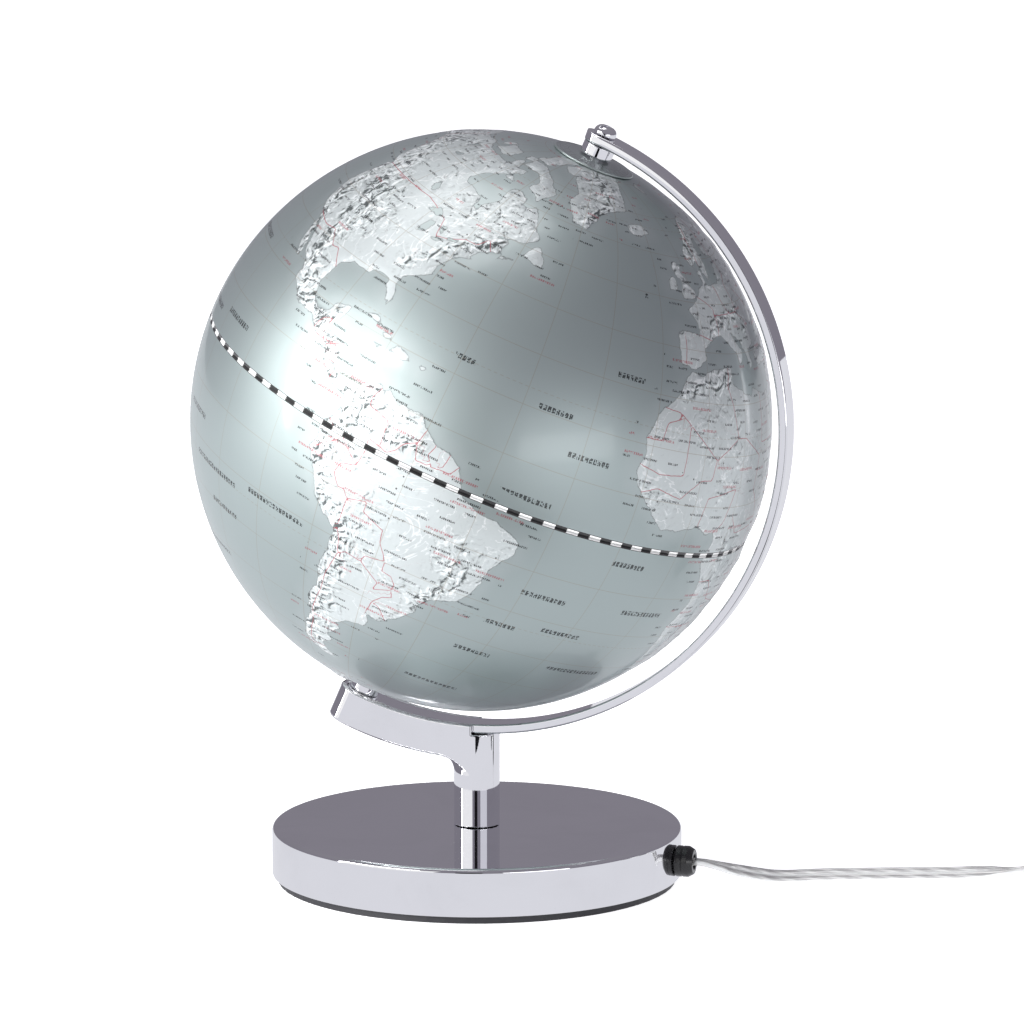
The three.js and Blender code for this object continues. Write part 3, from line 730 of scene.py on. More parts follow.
        (126, -14), (122.2, -18), (113.8, -22), (113.5, -26.5), (115.7, -31.7), (115, -34.3),
        (118, -35), (123.8, -33.9), (131, -31.6), (137.8, -33.2), (138.1, -35.7), (143.5, -38.8),
        (149.9, -37.5), (153.3, -29), (153, -25), (146, -18.9), (145.4, -15),
    ),
    "tasmania": ((144.7, -40.8), (148.3, -40.9), (147.9, -43.2), (146, -43.5)),
    "new_zealand_north": ((172.8, -34.5), (178.4, -37.7), (175.2, -41.6), (173.8, -39.3), (174.8, -38)),
    "new_zealand_south": ((172.7, -40.6), (174.2, -41.5), (170.6, -45.9), (168.4, -46.6), (166.6, -46)),
    "sri_lanka": ((79.9, 9.6), (81.8, 7.5), (80.5, 6), (79.8, 7.5)),
    "svalbard": ((12, 79.6), (20, 80.3), (18, 77), (14, 77.5)),
    "novaya_zemlya": ((52, 71), (56, 74.5), (68, 76.8), (58, 72), (57, 70.7)),
    "antarctica": (
        (-180, -78), (-160, -78.2), (-150, -76), (-130, -74), (-100, -72.5), (-80, -73), (-68, -70),
        (-66, -66), (-58, -63.4), (-62, -66.5), (-62, -74), (-75, -78), (-45, -78), (-30, -76),
        (-15, -72.5), (0, -70), (30, -69.5), (50, -66.5), (75, -69.5), (85, -66.5), (135, -66),
        (165, -71), (168, -77), (180, -78), (180, -90), (-180, -90),
    ),
}

LAKES: dict[str, LonLat] = {
    "superior": ((-92, 46.8), (-88.5, 48.6), (-84.8, 46.6), (-87.5, 46.6)),
    "michigan": ((-87.8, 42), (-86.4, 42.2), (-85.2, 45.6), (-87.8, 44.8)),
    "huron": ((-84, 45.9), (-81, 45.7), (-81.7, 43.3), (-83.5, 44)),
    "erie": ((-83.3, 41.8), (-79, 42.9), (-81.5, 41.5)),
    "ontario": ((-79.6, 43.6), (-76.5, 44.1), (-77, 43.3)),
    "winnipeg": ((-97, 50.5), (-96.5, 52), (-98.8, 53.8), (-99, 52)),
    "slave": ((-116, 61.2), (-111, 62.6), (-113.5, 60.8)),
    "bear": ((-124, 66.3), (-118, 66.5), (-121, 64.9)),
    "caspian": (
        (47.5, 43), (49, 45.5), (53, 46.7), (52.5, 42), (53, 40), (54, 37.3), (51, 36.8), (49, 38.5),
        (49.5, 41),
    ),
    "victoria_lake": ((32, -2.3), (32, 0.2), (34, 0.3), (33.8, -1.8)),
    "baikal": ((104, 51.6), (109.7, 55.6), (108, 52.8)),
}

BORDERS: tuple[LonLat, ...] = (
    ((-123, 49), (-95, 49), (-89.5, 48), (-84.5, 46.5), (-82.5, 42.5), (-79, 43.3), (-75, 45), (-71.5, 45),
     (-69.2, 47.4), (-67.8, 45.7), (-67, 45)),
    ((-141, 69.6), (-141, 60.3), (-135, 59.5), (-130, 55)),
    ((-117.1, 32.5), (-111, 31.3), (-106.5, 31.8), (-103, 29), (-101, 29.5), (-97.2, 25.9)),
    ((-92.2, 14.5), (-91, 17.3), (-89.2, 17.8), (-89.3, 14.4), (-87.5, 13), (-83.3, 15)),
    ((-85.7, 11.1), (-83.7, 11)),
    ((-82.6, 9.5), (-82.9, 8.2)),
    ((-71.4, 11.8), (-72.5, 9), (-72.2, 7.4), (-70, 7), (-67.5, 6.2), (-67.3, 2.5), (-67, 1.2), (-65.5, 0.8),
     (-64, 2), (-63, 4), (-60.7, 5.2), (-60, 8.2)),
    ((-60.7, 5.2), (-59.8, 2), (-56.5, 2), (-54.6, 2.3), (-52.7, 2.3), (-51.6, 4.1)),
    ((-57.2, 5.9), (-58, 4), (-56.5, 2)),
    ((-54, 5.6), (-54.3, 3.7), (-54.6, 2.3)),
    ((-67, 1.2), (-69.8, 1.7), (-69.4, -1), (-70, -4.2), (-72.5, -2.3), (-75.2, -0.1), (-77.5, 0.5),
     (-78.8, 1.4)),
    ((-75.2, -0.1), (-75.5, -1.5), (-78.3, -3.4), (-79.2, -4.9), (-80.3, -3.4)),
    ((-70, -4.2), (-73, -5), (-73.8, -7.4), (-72, -9.8), (-70.6, -9.5), (-69.5, -11), (-65.4, -9.8),
     (-65.3, -12), (-60.5, -13.7), (-60.2, -16.2), (-57.8, -19.9), (-62.3, -20.6), (-62.6, -22.2)),
    ((-69.5, -11), (-69.4, -15.5), (-69.5, -17.5), (-68.5, -19.5), (-67.9, -22.8), (-66.3, -21.8),
     (-62.6, -22.2), (-57.8, -25.2), (-58.6, -27.3), (-54.6, -25.6), (-54.3, -24), (-55.6, -22.4),
     (-57.9, -22.1), (-57.8, -19.9)),
    ((-70.3, -18.3), (-69.5, -17.5)),
    ((-67.9, -22.8), (-68.4, -25), (-69.6, -28.5), (-70, -33), (-71, -36.5), (-71.8, -40), (-71.8, -44),
     (-73.2, -50.5), (-72, -52), (-68.4, -52.3)),
    ((-58.2, -33.5), (-57.7, -30.3), (-55.8, -28), (-53.8, -27.2), (-54.6, -25.6)),
    ((-57.7, -30.3), (-55.8, -30.9), (-53.4, -33.8)),
    ((-13, 27.7), (-8.7, 27.3), (-8.7, 26), (-12, 25), (-13, 21.4), (-17, 21.3)),
    ((-8.7, 27.3), (1.2, 21.1), (4.2, 19.2), (12, 23.5), (15.5, 23.5), (24, 19.5), (23, 13), (27, 9.5),
     (31, 3.7)),
    ((-16.5, 16), (-12, 15), (-5.5, 15.5), (-5.5, 25)),
    ((4.2, 19.2), (3.5, 15.3), (0, 15), (-5, 11), (-11.5, 12.3), (-15, 11)),
    ((25, 31.5), (25, 22), (37, 22)),
    ((8.5, 36.9), (7.6, 33.5), (9.5, 30.2), (12, 23.5)),
    ((2.7, 6.4), (3.6, 11.7), (13.5, 13.7), (11.5, 7), (8.8, 4.8)),
    ((15.5, 7.5), (18.5, 4.3), (27.4, 5), (29.6, -1.4), (29.3, -4.4), (30.5, -8.3), (28.5, -12.4), (22, -11),
     (16.8, -5.9), (12.3, -6)),
    ((11.8, -17.3), (25.3, -17.8), (29.4, -22.2), (32.8, -26.8)),
    ((20, -17.8), (20, -28.4), (16.5, -28.6)),
    ((36.4, 14.4), (34, 9), (36, 4.4), (41.9, 3.9), (41.6, -1.6)),
    ((34, 4.2), (34, -1), (39.2, -4.7)),
    ((30.5, -8.3), (34.5, -11.5), (40.5, -10.6)),
    ((-7, 41.9), (-7.4, 37.2)),
    ((-1.8, 43.4), (3.1, 42.5)),
    ((2.5, 51.1), (6.1, 50), (8.2, 49), (7.6, 47.6), (7.5, 43.8)),
    ((7.6, 47.6), (17, 48), (15, 51), (14.3, 53.9)),
    ((17, 48), (22.5, 48), (24, 50.5), (23.6, 53.9), (28, 56), (27.8, 60.5), (30, 67), (28.5, 69.5)),
    ((22.5, 48), (28.2, 45.5)),
    ((11.5, 59), (12.5, 63.5), (20, 69)),
    ((31, 52), (38.2, 47.1)),
    ((48, 46), (47, 50), (61, 54), (71, 54.2), (87, 49.2), (98, 50.5), (116, 49.8), (120, 53), (131, 47.8),
     (135, 48.4), (130.7, 42.3)),
    ((87.7, 49.1), (91, 45.2), (96.4, 42.7), (105, 41.6), (116, 46.5), (116, 49.8)),
    ((87.7, 49.1), (80.2, 42.2), (74, 39.5), (78, 35), (81, 30.2), (92, 27.8), (97.3, 28.2), (98.5, 24),
     (101.5, 22.3), (108, 21.6)),
    ((78, 35), (74.5, 31), (70.5, 28), (68.3, 23.9)),
    ((61.3, 25.2), (61.2, 35.6), (54, 37.3)),
    ((44.8, 39.7), (46, 33), (48, 30.2)),
    ((36.2, 36.7), (44.8, 37.2)),
    ((35.7, 32.7), (44.7, 29.2), (47.5, 29)),
    ((42.8, 16.5), (52, 19), (53.2, 16.7)),
    ((98.6, 19.5), (101, 17.5), (105, 15), (107.5, 14)),
    ((141, -2.6), (141, -9.1)),
    ((129, -14.9), (129, -31.6)),
    ((138, -16.5), (141, -26), (141, -38)),
)

RANGES: tuple[tuple[float, LonLat], ...] = (
    (420.0, ((-150, 63), (-137, 61), (-127, 56), (-118, 51), (-112, 44), (-107, 39), (-106, 34))),
    (300.0, ((-122, 48), (-121, 42), (-118.5, 36), (-116, 32))),
    (260.0, ((-107, 30), (-105, 24), (-100, 19), (-94, 16.5), (-90, 15), (-84, 10))),
    (170.0, ((-84, 34.5), (-79, 39), (-73, 44), (-67, 48))),
    (260.0, ((-73, 10), (-75.5, 5), (-78, 0), (-78, -7), (-74, -13), (-68, -18), (-67.5, -24), (-69.5, -31),
             (-71, -38), (-72.5, -45), (-73, -51))),
    (180.0, ((-45, -15), (-44, -20), (-48, -24))),
    (150.0, ((-66, 3.5), (-60, 4.5))),
    (260.0, ((-42, 62), (-35, 68), (-30, 75), (-45, 80))),
    (170.0, ((-8, 31), (0, 34), (8, 35))),
    (250.0, ((37, 13), (37, 3), (34, -8), (30, -15), (29, -29))),
    (180.0, ((6, 45), (14, 47), (24, 48), (25, 45))),
    (200.0, ((7, 60), (15, 66), (22, 69))),
    (150.0, ((60, 50), (60, 58), (63, 67))),
    (240.0, ((36, 38), (45, 40), (50, 34), (60, 30), (68, 34))),
    (500.0, ((72, 37), (80, 33), (88, 31), (97, 31), (102, 35))),
    (300.0, ((75, 42), (87, 47), (100, 51), (115, 55), (130, 58), (150, 65))),
    (160.0, ((136, -4), (145, -6))),
    (160.0, ((148, -37), (151, -30), (146, -20))),
    (110.0, ((-110, 24.5), (-115, 30))),
    (300.0, ((-65, -72), (-90, -80), (160, -75), (60, -70))),
)


def on_sphere(lonlat: Array) -> Array:
    """Unit vectors for [longitude, latitude] degrees: (cos lat cos lon, cos lat sin lon, sin lat)."""
    lon, lat = np.radians(lonlat[..., 0]), np.radians(lonlat[..., 1])
    return np.stack([np.cos(lat) * np.cos(lon), np.cos(lat) * np.sin(lon), np.sin(lat)], -1)


def stepped(line: LonLat, step: float, closed: bool) -> Array:
    """A line with straight steps of at most step degrees added between its points."""
    corners = np.array(line, float)
    if closed:
        corners = np.concatenate([corners, corners[:1]])
    parts = []
    for a, b in zip(corners[:-1], corners[1:]):
        count = max(1, math.ceil(float(np.abs(b - a).max()) / step))
        parts.append(a + (b - a) * np.arange(count)[:, None] / count)
    return np.concatenate([*parts, corners[-1:]])


def distance_to_line(points: Array, line: Array) -> Array:
    """The shortest distance from unit vectors to a line of unit vectors, in radians.

    For each step of the line it is the distance to the nearest point a + t (b - a), 0 <= t <= 1.
    """
    best = np.full(len(points), 9.0)
    for a, b in zip(line[:-1], line[1:]):
        along = b - a
        t = np.clip((points - a) @ along / max(float(along @ along), 1e-12), 0, 1)
        away = points - a - t[:, None] * along
        best = np.minimum(best, np.einsum("ij,ij->i", away, away))
    return np.sqrt(best)


def inside(lonlat: Array, outline: LonLat) -> Array:
    """Whether [longitude, latitude] points lie in an outline, told by counting crossed sides."""
    crossings = np.zeros(len(lonlat), bool)
    corners = np.array(outline, float)
    for shift in (0, 360):
        lon, lat = lonlat[:, 0] + shift, lonlat[:, 1]
        for (x0, y0), (x1, y1) in zip(corners, np.roll(corners, -1, 0)):
            if y0 == y1:
                continue
            spans = (y0 > lat) != (y1 > lat)
            crossings ^= spans & (lon < x0 + (lat - y0) * (x1 - x0) / (y1 - y0))
    return crossings


def wavering(points: Array, seed: int, octaves: int = 4, first: float = 9.0) -> Array:
    """Smooth irregular heights of about -1 to 1 over unit vectors.

    It is a sum of sines along random directions; each octave is 1.9 times finer and 0.58 as high.
    """
    rng = np.random.default_rng(seed)
    total, weight = np.zeros(len(points)), 0.0
    for octave in range(octaves):
        strength = 0.58**octave
        for _ in range(5):
            direction = rng.normal(size=3)
            direction *= first * 1.9**octave * rng.uniform(0.8, 1.25) / np.linalg.norm(direction)
            total += strength * np.sin(points @ direction + rng.uniform(0, 6.28))
        weight += strength * 1.6
    return total / weight


@dataclass(frozen=True)
class WorldMap:
    """Where the land is: signed distances to its coasts, and heights near its mountain ranges.

    Ripple, reach and margin are in radians, and step is in degrees.
    """

    ripple: float = 0.0055
    reach: float = 0.5
    margin: float = 0.12
    step: float = 6.0

    def land(self, lonlat: Array, points: Array) -> Array:
        """The distance inland in radians, negative at sea.

        Coasts are made ragged by adding a wavering amount to the distance.
        """
        near = np.full(len(points), -self.reach)
        for outline in LANDS.values():
            near = np.maximum(near, self.signed(lonlat, points, outline))
        for outline in LAKES.values():
            near = np.minimum(near, -self.signed(lonlat, points, outline))
        return near + self.ripple * wavering(points, seed=5, octaves=5, first=22.0)

    def signed(self, lonlat: Array, points: Array, outline: LonLat) -> Array:
        """The distance to an outline, positive inside it; points beyond reach keep -reach."""
        line = on_sphere(stepped(outline, self.step, True))
        middle = line.mean(0)
        middle /= np.linalg.norm(middle)
        spread = float(np.linalg.norm(line - middle, axis=1).max()) + self.margin
        close = np.linalg.norm(points - middle, axis=1) < spread
        out = np.full(len(points), -self.reach)
        if close.any():
            away = distance_to_line(points[close], line)
            out[close] = np.where(inside(lonlat[close], outline), away, -away)
        return out

    def border(self, points: Array) -> Array:
        """The distance to the nearest border in radians; its sign tells the border's two sides."""
        best, side = np.full(len(points), 9.0), np.ones(len(points))
        for border in BORDERS:
            line = on_sphere(stepped(border, self.step, False))
            for a, b in zip(line[:-1], line[1:]):
                away = distance_to_line(points, np.stack([a, b]))
                nearer = away < best
                best[nearer] = away[nearer]
                side[nearer] = np.sign(points[nearer] @ np.cross(a, b))
        return best * side

    def height(self, points: Array) -> Array:
        """0 on plains to 1 on the crests of the ranges, whose half-widths are in kilometres."""
        best = np.zeros(len(points))
        for width, line in RANGES:
            away = distance_to_line(points, on_sphere(np.array(line, float)))
            best = np.maximum(best, np.exp(-((away / (width / EARTH_KM)) ** 2)))
        return best


# ---------------------------------------------------------------- finishes


class Slot(Enum):
    """The record's material slots."""

    CHROME = "chromed_metal"
    STEEL = "steel"
    IRON = "iron"
    BRASS = "brass"
    FOOT = "black_foot"
    BLACK = "black_plastic"
    WHITE = "white_plastic"
    BALL = "printed_ball"
    BULB = "bulb_glass"
    CLEAR = "clear_insulation"


@dataclass(frozen=True)
class Metal:
    """A metal with faint smears in its gloss and a fine grain."""

    colour: tuple[float, float, float]
    roughness: float
    smear: float = 0.02
    grain_mm: float = 0.8
    grain_depth_mm: float = 0.002

    def material(self, name: str) -> bpy.types.Material:
        """Returns the metal's material: its roughness wavers with two sizes of noise."""
        tree = Tree(name)
        place = tree.object_place()
        smears = tree.noise(place, 42, 4, 0.6, 0.8).ramp(0.42, 0.72)
        fine = tree.noise(place, self.grain_mm, 2)
        darker = tuple(0.93 * part for part in self.colour)
        return tree.surface(
            Base_Color=tree.mix(smears * 0.5, self.colour, darker),
            Metallic=1.0,
            Roughness=smears * self.smear + fine * self.smear * 0.4 + self.roughness,
            Normal=tree.bump(fine, self.grain_depth_mm, 0.5),
        )


@dataclass(frozen=True)
class Plastic:
    """A moulded plastic with a fine texture, a little uneven gloss and faint dust."""

    colour: tuple[float, float, float]
    roughness: float
    texture_mm: float = 0.5
    texture_depth_mm: float = 0.01
    coat: float = 0.0

    def material(self, name: str) -> bpy.types.Material:
        """Returns the plastic's material."""
        tree = Tree(name)
        place = tree.object_place()
        cloud = tree.noise(place, 25, 4)
        pores = tree.noise(place, self.texture_mm, 3)
        dust = tree.noise(place, 1.3, 1).ramp(0.72, 0.82)
        lighter = tuple(min(1.0, 1.08 * part + 0.012) for part in self.colour)
        return tree.surface(
            Base_Color=tree.mix(cloud * 0.35 + dust * 0.25, self.colour, lighter),
            Roughness=cloud * 0.08 + pores * 0.06 + self.roughness,
            Normal=tree.bump(pores, self.texture_depth_mm, 0.6),
            Coat_Weight=self.coat,
            Coat_Roughness=0.06,
        )


@dataclass(frozen=True)
class PrintedBall:
    """The ball's map print: metallic sea, pale hill-shaded land and a net of lines, under lacquer.

    The mesh gives longitude and latitude as its uv, the distance inland and the distance to a
    border in millimetres as the attributes land and border, and the mountains as height.
    """

    radius: float
    sea: tuple[float, float, float] = (0.43, 0.50, 0.495)
    shelf: tuple[float, float, float] = (0.62, 0.67, 0.67)
    land: tuple[float, float, float] = (0.60, 0.65, 0.65)
    plain: tuple[float, float, float] = (0.50, 0.54, 0.54)
    light: tuple[float, float, float] = (0.88, 0.92, 0.92)
    shade: tuple[float, float, float] = (0.10, 0.115, 0.115)
    river: tuple[float, float, float] = (0.9, 0.92, 0.92)
    shore: tuple[float, float, float] = (0.10, 0.11, 0.11)
    net: tuple[float, float, float] = (0.36, 0.33, 0.27)
    black: tuple[float, float, float] = (0.015, 0.015, 0.015)
    white: tuple[float, float, float] = (0.85, 0.86, 0.85)
    frontier: tuple[float, float, float] = (0.42, 0.07, 0.09)
    hill_mm: float = 4.6
    ragged_mm: float = 4.2
    line_half: float = 0.13
    band_half: float = 1.25
    rail_from: float = 0.98
    mid_line: float = 0.12
    block: float = 2.5
    tropic: float = 23.44
    polar_circle: float = 66.56
    net_end: float = 80.0
    names_end: float = 72.0

    @property
    def degree(self) -> float:
        """Millimetres on the skin for a degree of latitude."""
        return self.radius * math.pi / 180

    def coordinates(self, tree: Tree) -> tuple[Value, Value]:
        """Longitude and latitude in degrees, from the mesh's uv."""
        pair = tree.node("ShaderNodeUVMap", {"uv_map": "UVMap"}).outputs[0]
        split = tree.node("ShaderNodeSeparateXYZ", None, pair)
        return Value(tree, split.outputs[0]) * 360 - 180, Value(tree, split.outputs[1]) * 180 - 90

    def hill_shade(self, tree: Tree, place: bpy.types.NodeSocket) -> Value:
        """Light and dark flanks of printed hills: the noise less the same noise a step aside."""
        size = self.hill_mm
        step = (size * 0.00014, 0, -size * 0.0002)
        aside = tree.node("ShaderNodeMapping", None, place, step).outputs[0]
        return tree.noise(place, size, 7, 0.6, 0.8) - tree.noise(aside, size, 7, 0.6, 0.8)

    def terrain(self, tree: Tree, place: bpy.types.NodeSocket, height: Value) -> bpy.types.NodeSocket:
        """The land's colour: cloudy plains, and hills with a dark flank and a light one."""
        rugged = height * 0.9 + 0.14 + tree.noise(place, 26, 3).ramp(0.42, 0.68) * 0.42
        hills = self.hill_shade(tree, place) * rugged
        dark = (hills * 9).ramp(0.04, 0.95)
        light = (hills * -9).ramp(0.04, 0.9)
        cloud = tree.noise(place, 30, 4).ramp(0.35, 0.75)
        plain = tree.mix(cloud * 0.45, self.land, self.plain)
        return tree.mix(dark, tree.mix(light, plain, self.light), self.shade)

    def net_lines(self, lon: Value, lat: Value, shrink: Value) -> Value:
        """1 on the meridians, parallels, broken tropics and polar circles, and 0 elsewhere."""
        half, degree = self.line_half, self.degree
        meridians = (lon.nearest(15) * degree * shrink < half) * (abs(lat) < self.net_end)
        parallels = lat.nearest(10) * degree < half
        tropics = (abs(abs(lat) - self.tropic) * degree < half) * (lon.nearest(1.4) > 0.3)
        circles = (abs(abs(lat) - self.polar_circle) * degree < half) * (lon.nearest(2.8) > 0.6)
        return meridians.highest(parallels, tropics, circles)

    def equator(self, lon: Value, lat: Value) -> tuple[Value, Value]:
        """The equator's band, and what is black in it: blocks, a middle line and two rails."""
        away = abs(lat * self.degree)
        blocks = lon.math("WRAP", 2 * self.block, 0.0) < self.block
        black = blocks.highest(away > self.rail_from, away < self.mid_line)
        return away < self.band_half, black

    def writing(self, tree: Tree, where: tuple[Value, Value, Value, Value], cell: tuple[float, float],
                tall: float, share: float, seed: float) -> Value:
        """Short rows of strokes too small to read, laid out in a loose grid.

        Args:
            tree: the material's tree.
            where: longitude, latitude, millimetres for a degree of longitude, and a noise of strokes.
            cell: the grid's spacing in degrees of longitude and latitude.
            tall: the strokes' height in millimetres.
            share: how many of the cells hold a row.
            seed: sets the choice of cells apart from other calls.

        Returns:
            1 on the strokes and 0 elsewhere.
        """
        lon, lat, degree, strokes = where
        row = (lat / cell[1]).math("FLOOR")
        shifted = lon / cell[0] + (row * 0.37).math("FRACT")
        corner = tree.node("ShaderNodeCombineXYZ", None, shifted.math("FLOOR") + seed, row, seed).outputs[0]
        chance = tree.node("ShaderNodeTexWhiteNoise", {"noise_dimensions": "3D"}, corner)
        parts = tree.node("ShaderNodeSeparateColor", None, chance.outputs["Color"])
        lift, length, draw = (Value(tree, parts.outputs[k]) for k in range(3))
        across = shifted.math("FRACT")
        up = ((lat / cell[1]).math("FRACT") - 0.3 - lift * 0.4) * cell[1] * self.degree
        in_row = (abs(up) < tall / 2) * (across < length * 0.5 + 0.3)
        letters = (across * cell[0] * degree / (tall * 0.85)).math("FRACT") < 0.74
        return in_row * letters * (draw < share) * (strokes > 0.43)

    def lettered(self, tree: Tree, place: bpy.types.NodeSocket, inland: Value, on_land: Value,
                 where: tuple[Value, Value, Value, Value]) -> tuple[Value, Value]:
        """The red marks, and the black ones: small and large rows of strokes, and dots for towns."""
        near_shore = inland > -9
        small = self.writing(tree, where, (6.5, 2.3), 0.95, 0.5, 3.0) * near_shore
        red = self.writing(tree, where, (9.0, 3.9), 1.1, 0.3, 8.0) * near_shore
        large = self.writing(tree, where, (24.0, 9.0), 2.3, 0.42, 5.0) * (inland < -14)
        dots = tree.node("ShaderNodeTexVoronoi", None, Vector=place, Scale=1000 / 7.5)
        towns = (Value(tree, dots.outputs["Distance"]) < 0.055) * on_land
        return red, small.highest(large, towns) * (abs(where[1]) < self.names_end)

    def material(self, name: str) -> bpy.types.Material:
        """Returns the print's material: each layer is laid over the ones before it."""
        tree = Tree(name)
        lon, lat = self.coordinates(tree)
        shrink = (lat * (math.pi / 180)).math("COSINE")
        place = tree.object_place()
        height = tree.attribute("height")
        ragged = (tree.noise(place, 6, 6, 0.68) - 0.5) * self.ragged_mm
        inland = tree.attribute("land") + ragged
        on_land = inland.ramp(-0.07, 0.07, False)
        coast = 1 - abs(inland).ramp(0.05, 0.26, False)
        border = 1 - abs(tree.attribute("border") + ragged * 0.25).ramp(0.1, 0.24)
        rivers = 1 - abs(tree.noise(place, 34, 5, 0.55, 1.2) - 0.5).ramp(0.002, 0.007)
        where = (lon, lat, shrink * self.degree, tree.noise(place, 0.75, 1, 0.5))
        red, blacks = self.lettered(tree, place, inland, on_land, where)
        band, blackened = self.equator(lon, lat)
        sea = tree.mix(inland.ramp(-9, -0.5) * 0.22, self.sea, self.shelf)
        colour = tree.mix(on_land, sea, self.terrain(tree, place, height))
        colour = tree.mix(rivers * on_land * 0.5, colour, self.river)
        colour = tree.mix(coast * 0.6, colour, self.shore)
        colour = tree.mix(border * on_land * 0.8, colour, self.frontier)
        colour = tree.mix(red * 0.65, colour, self.frontier)
        colour = tree.mix(blacks * 0.85, colour, self.black)
        colour = tree.mix(self.net_lines(lon, lat, shrink) * 0.6, colour, self.net)
        colour = tree.mix(band, colour, tree.mix(blackened, self.white, self.black))
        sparkle = tree.noise(place, 0.35, 1)
        mist = tree.noise(place, 60, 3)
        wrinkle = tree.noise(place, 4.2, 5, 0.65, 0.5) * on_land * (height * 0.8 + 0.25)
        return tree.surface(
            Base_Color=colour,
            Metallic=(1 - on_land * 0.35) * (1 - band) * 0.9,
            Roughness=on_land * 0.04 + mist * 0.05 + sparkle * 0.05 + 0.40,
            Normal=tree.bump(wrinkle + sparkle * 0.03, 0.2, 0.45),
            Coat_Weight=0.6,
            Coat_Roughness=0.1,
        )


@dataclass(frozen=True)
class HourDisc:
    """The polar disc: pale metal with 24 hour ticks, half-hour ticks and two thin rings."""

    place: Frame
    metal: tuple[float, float, float] = (0.38, 0.43, 0.425)
    ink: tuple[float, float, float] = (0.05, 0.055, 0.055)
    rings: tuple[float, float] = (12.0, 15.7)
    ring_half: float = 0.12
    hours: tuple[float, float, float] = (15.0, 12.6, 0.22)
    half_hours: tuple[float, float, float] = (7.5, 13.9, 0.13)
    tick_end: float = 15.4

    def material(self, name: str) -> bpy.types.Material:
        """Returns the disc's material; its ticks come from the angle about the ball's axis."""
        tree = Tree(name)
        x, y, _ = tree.framed_place(self.place)
        reach = (x * x + y * y).math("SQRT")
        angle = y.math("ARCTAN2", x) * (180 / math.pi)
        marks = []
        for spacing, start, half in (self.hours, self.half_hours):
            beside = angle.nearest(spacing) * reach * (math.pi / 180)
            marks.append((beside < half) * (reach > start) * (reach < self.tick_end))
        for radius in self.rings:
            marks.append(abs(reach - radius) < self.ring_half)
        marked = marks[0].highest(*marks[1:])
        brushed = tree.noise(tree.object_place(), 1.4, 3)
        return tree.surface(
            Base_Color=tree.mix(marked * 0.75, self.metal, self.ink),
            Metallic=(1 - marked) * 0.85,
            Roughness=brushed * 0.1 + 0.3,
            Coat_Weight=0.5,
            Coat_Roughness=0.03,
        )


@dataclass(frozen=True)
class ClearTwin:
    """A clear sheath over two stranded, tinned conductors, seen as two twisted bright cores.

    The mesh gives the place across the cord and along it in millimetres as attributes.
    """

    lobe: float
    dark_wire: tuple[float, float, float] = (0.45, 0.45, 0.44)
    bright_wire: tuple[float, float, float] = (0.86, 0.86, 0.85)
    dull_sheath: tuple[float, float, float] = (0.66, 0.67, 0.67)
    clear_sheath: tuple[float, float, float] = (0.86, 0.87, 0.87)
    # colour of the painted shade in the crease between the two lobes
    waist_shade: tuple[float, float, float] = (0.42, 0.43, 0.42)
    core_edge: tuple[float, float] = (0.75, 1.15)
    waist_shade_edge: tuple[float, float] = (0.1, 0.7)

    def material(self, name: str) -> bpy.types.Material:
        """Returns the cord's material, with painted shade in the crease between its two lobes."""
        tree = Tree(name)
        across, along = tree.attribute("across"), tree.attribute("along")
        core = 1 - abs(abs(across) - self.lobe).ramp(*self.core_edge)
        # painted shade: darkens the crease where the two lobes meet
        waist_shade = 1 - abs(across).ramp(*self.waist_shade_edge)
        lay = (along * 0.55 + across * 2.4).math("SINE")
        place = tree.object_place()
        strands = lay.ramp(-0.4, 0.9) * 0.55 + tree.noise(place, 2.5, 3) * 0.45
        wire = tree.mix(strands, self.dark_wire, self.bright_wire)
        sheath = tree.mix(tree.noise(place, 14, 3), self.dull_sheath, self.clear_sheath)
        return tree.surface(
            Base_Color=tree.mix(waist_shade * 0.3, tree.mix(core, sheath, wire), self.waist_shade),
            Metallic=core * 0.45,
            Roughness=strands * 0.12 + 0.16,
            Normal=tree.bump(strands * core, 0.12, 0.5),
            Coat_Weight=0.8,
            Coat_Roughness=0.06,
        )


METALS = {
    Slot.CHROME: Metal((0.87, 0.87, 0.895), 0.018),
    Slot.STEEL: Metal((0.60, 0.61, 0.63), 0.28, 0.08, 0.4, 0.01),
    Slot.IRON: Metal((0.16, 0.16, 0.165), 0.62, 0.1, 1.5, 0.12),
    Slot.BRASS: Metal((0.76, 0.58, 0.26), 0.25, 0.08),
}

PLASTICS = {
    Slot.FOOT: Plastic((0.022, 0.022, 0.026), 0.38, 0.6, 0.02),
    Slot.BLACK: Plastic((0.006, 0.006, 0.007), 0.2, 0.9, 0.002, 0.4),
    Slot.WHITE: Plastic((0.82, 0.81, 0.77), 0.42),
    Slot.BULB: Plastic((0.92, 0.90, 0.84), 0.22, 0.4, 0.004, 0.4),
    Slot.BALL: Plastic((0.6, 0.62, 0.62), 0.4),
    Slot.CLEAR: Plastic((0.62, 0.62, 0.6), 0.25, 0.5, 0.005, 0.6),
}


class Finishes:
    """The shared materials, each made once, when it is first asked for."""

    def __init__(self) -> None:
        """Starts with no material made."""
        self.made: dict[Slot, bpy.types.Material] = {}

    def of(self, slot: Slot) -> bpy.types.Material:
        """Returns the slot's plain material."""
        if slot not in self.made:
            finish = METALS.get(slot) or PLASTICS[slot]
            self.made[slot] = finish.material(slot.value)
        return self.made[slot]


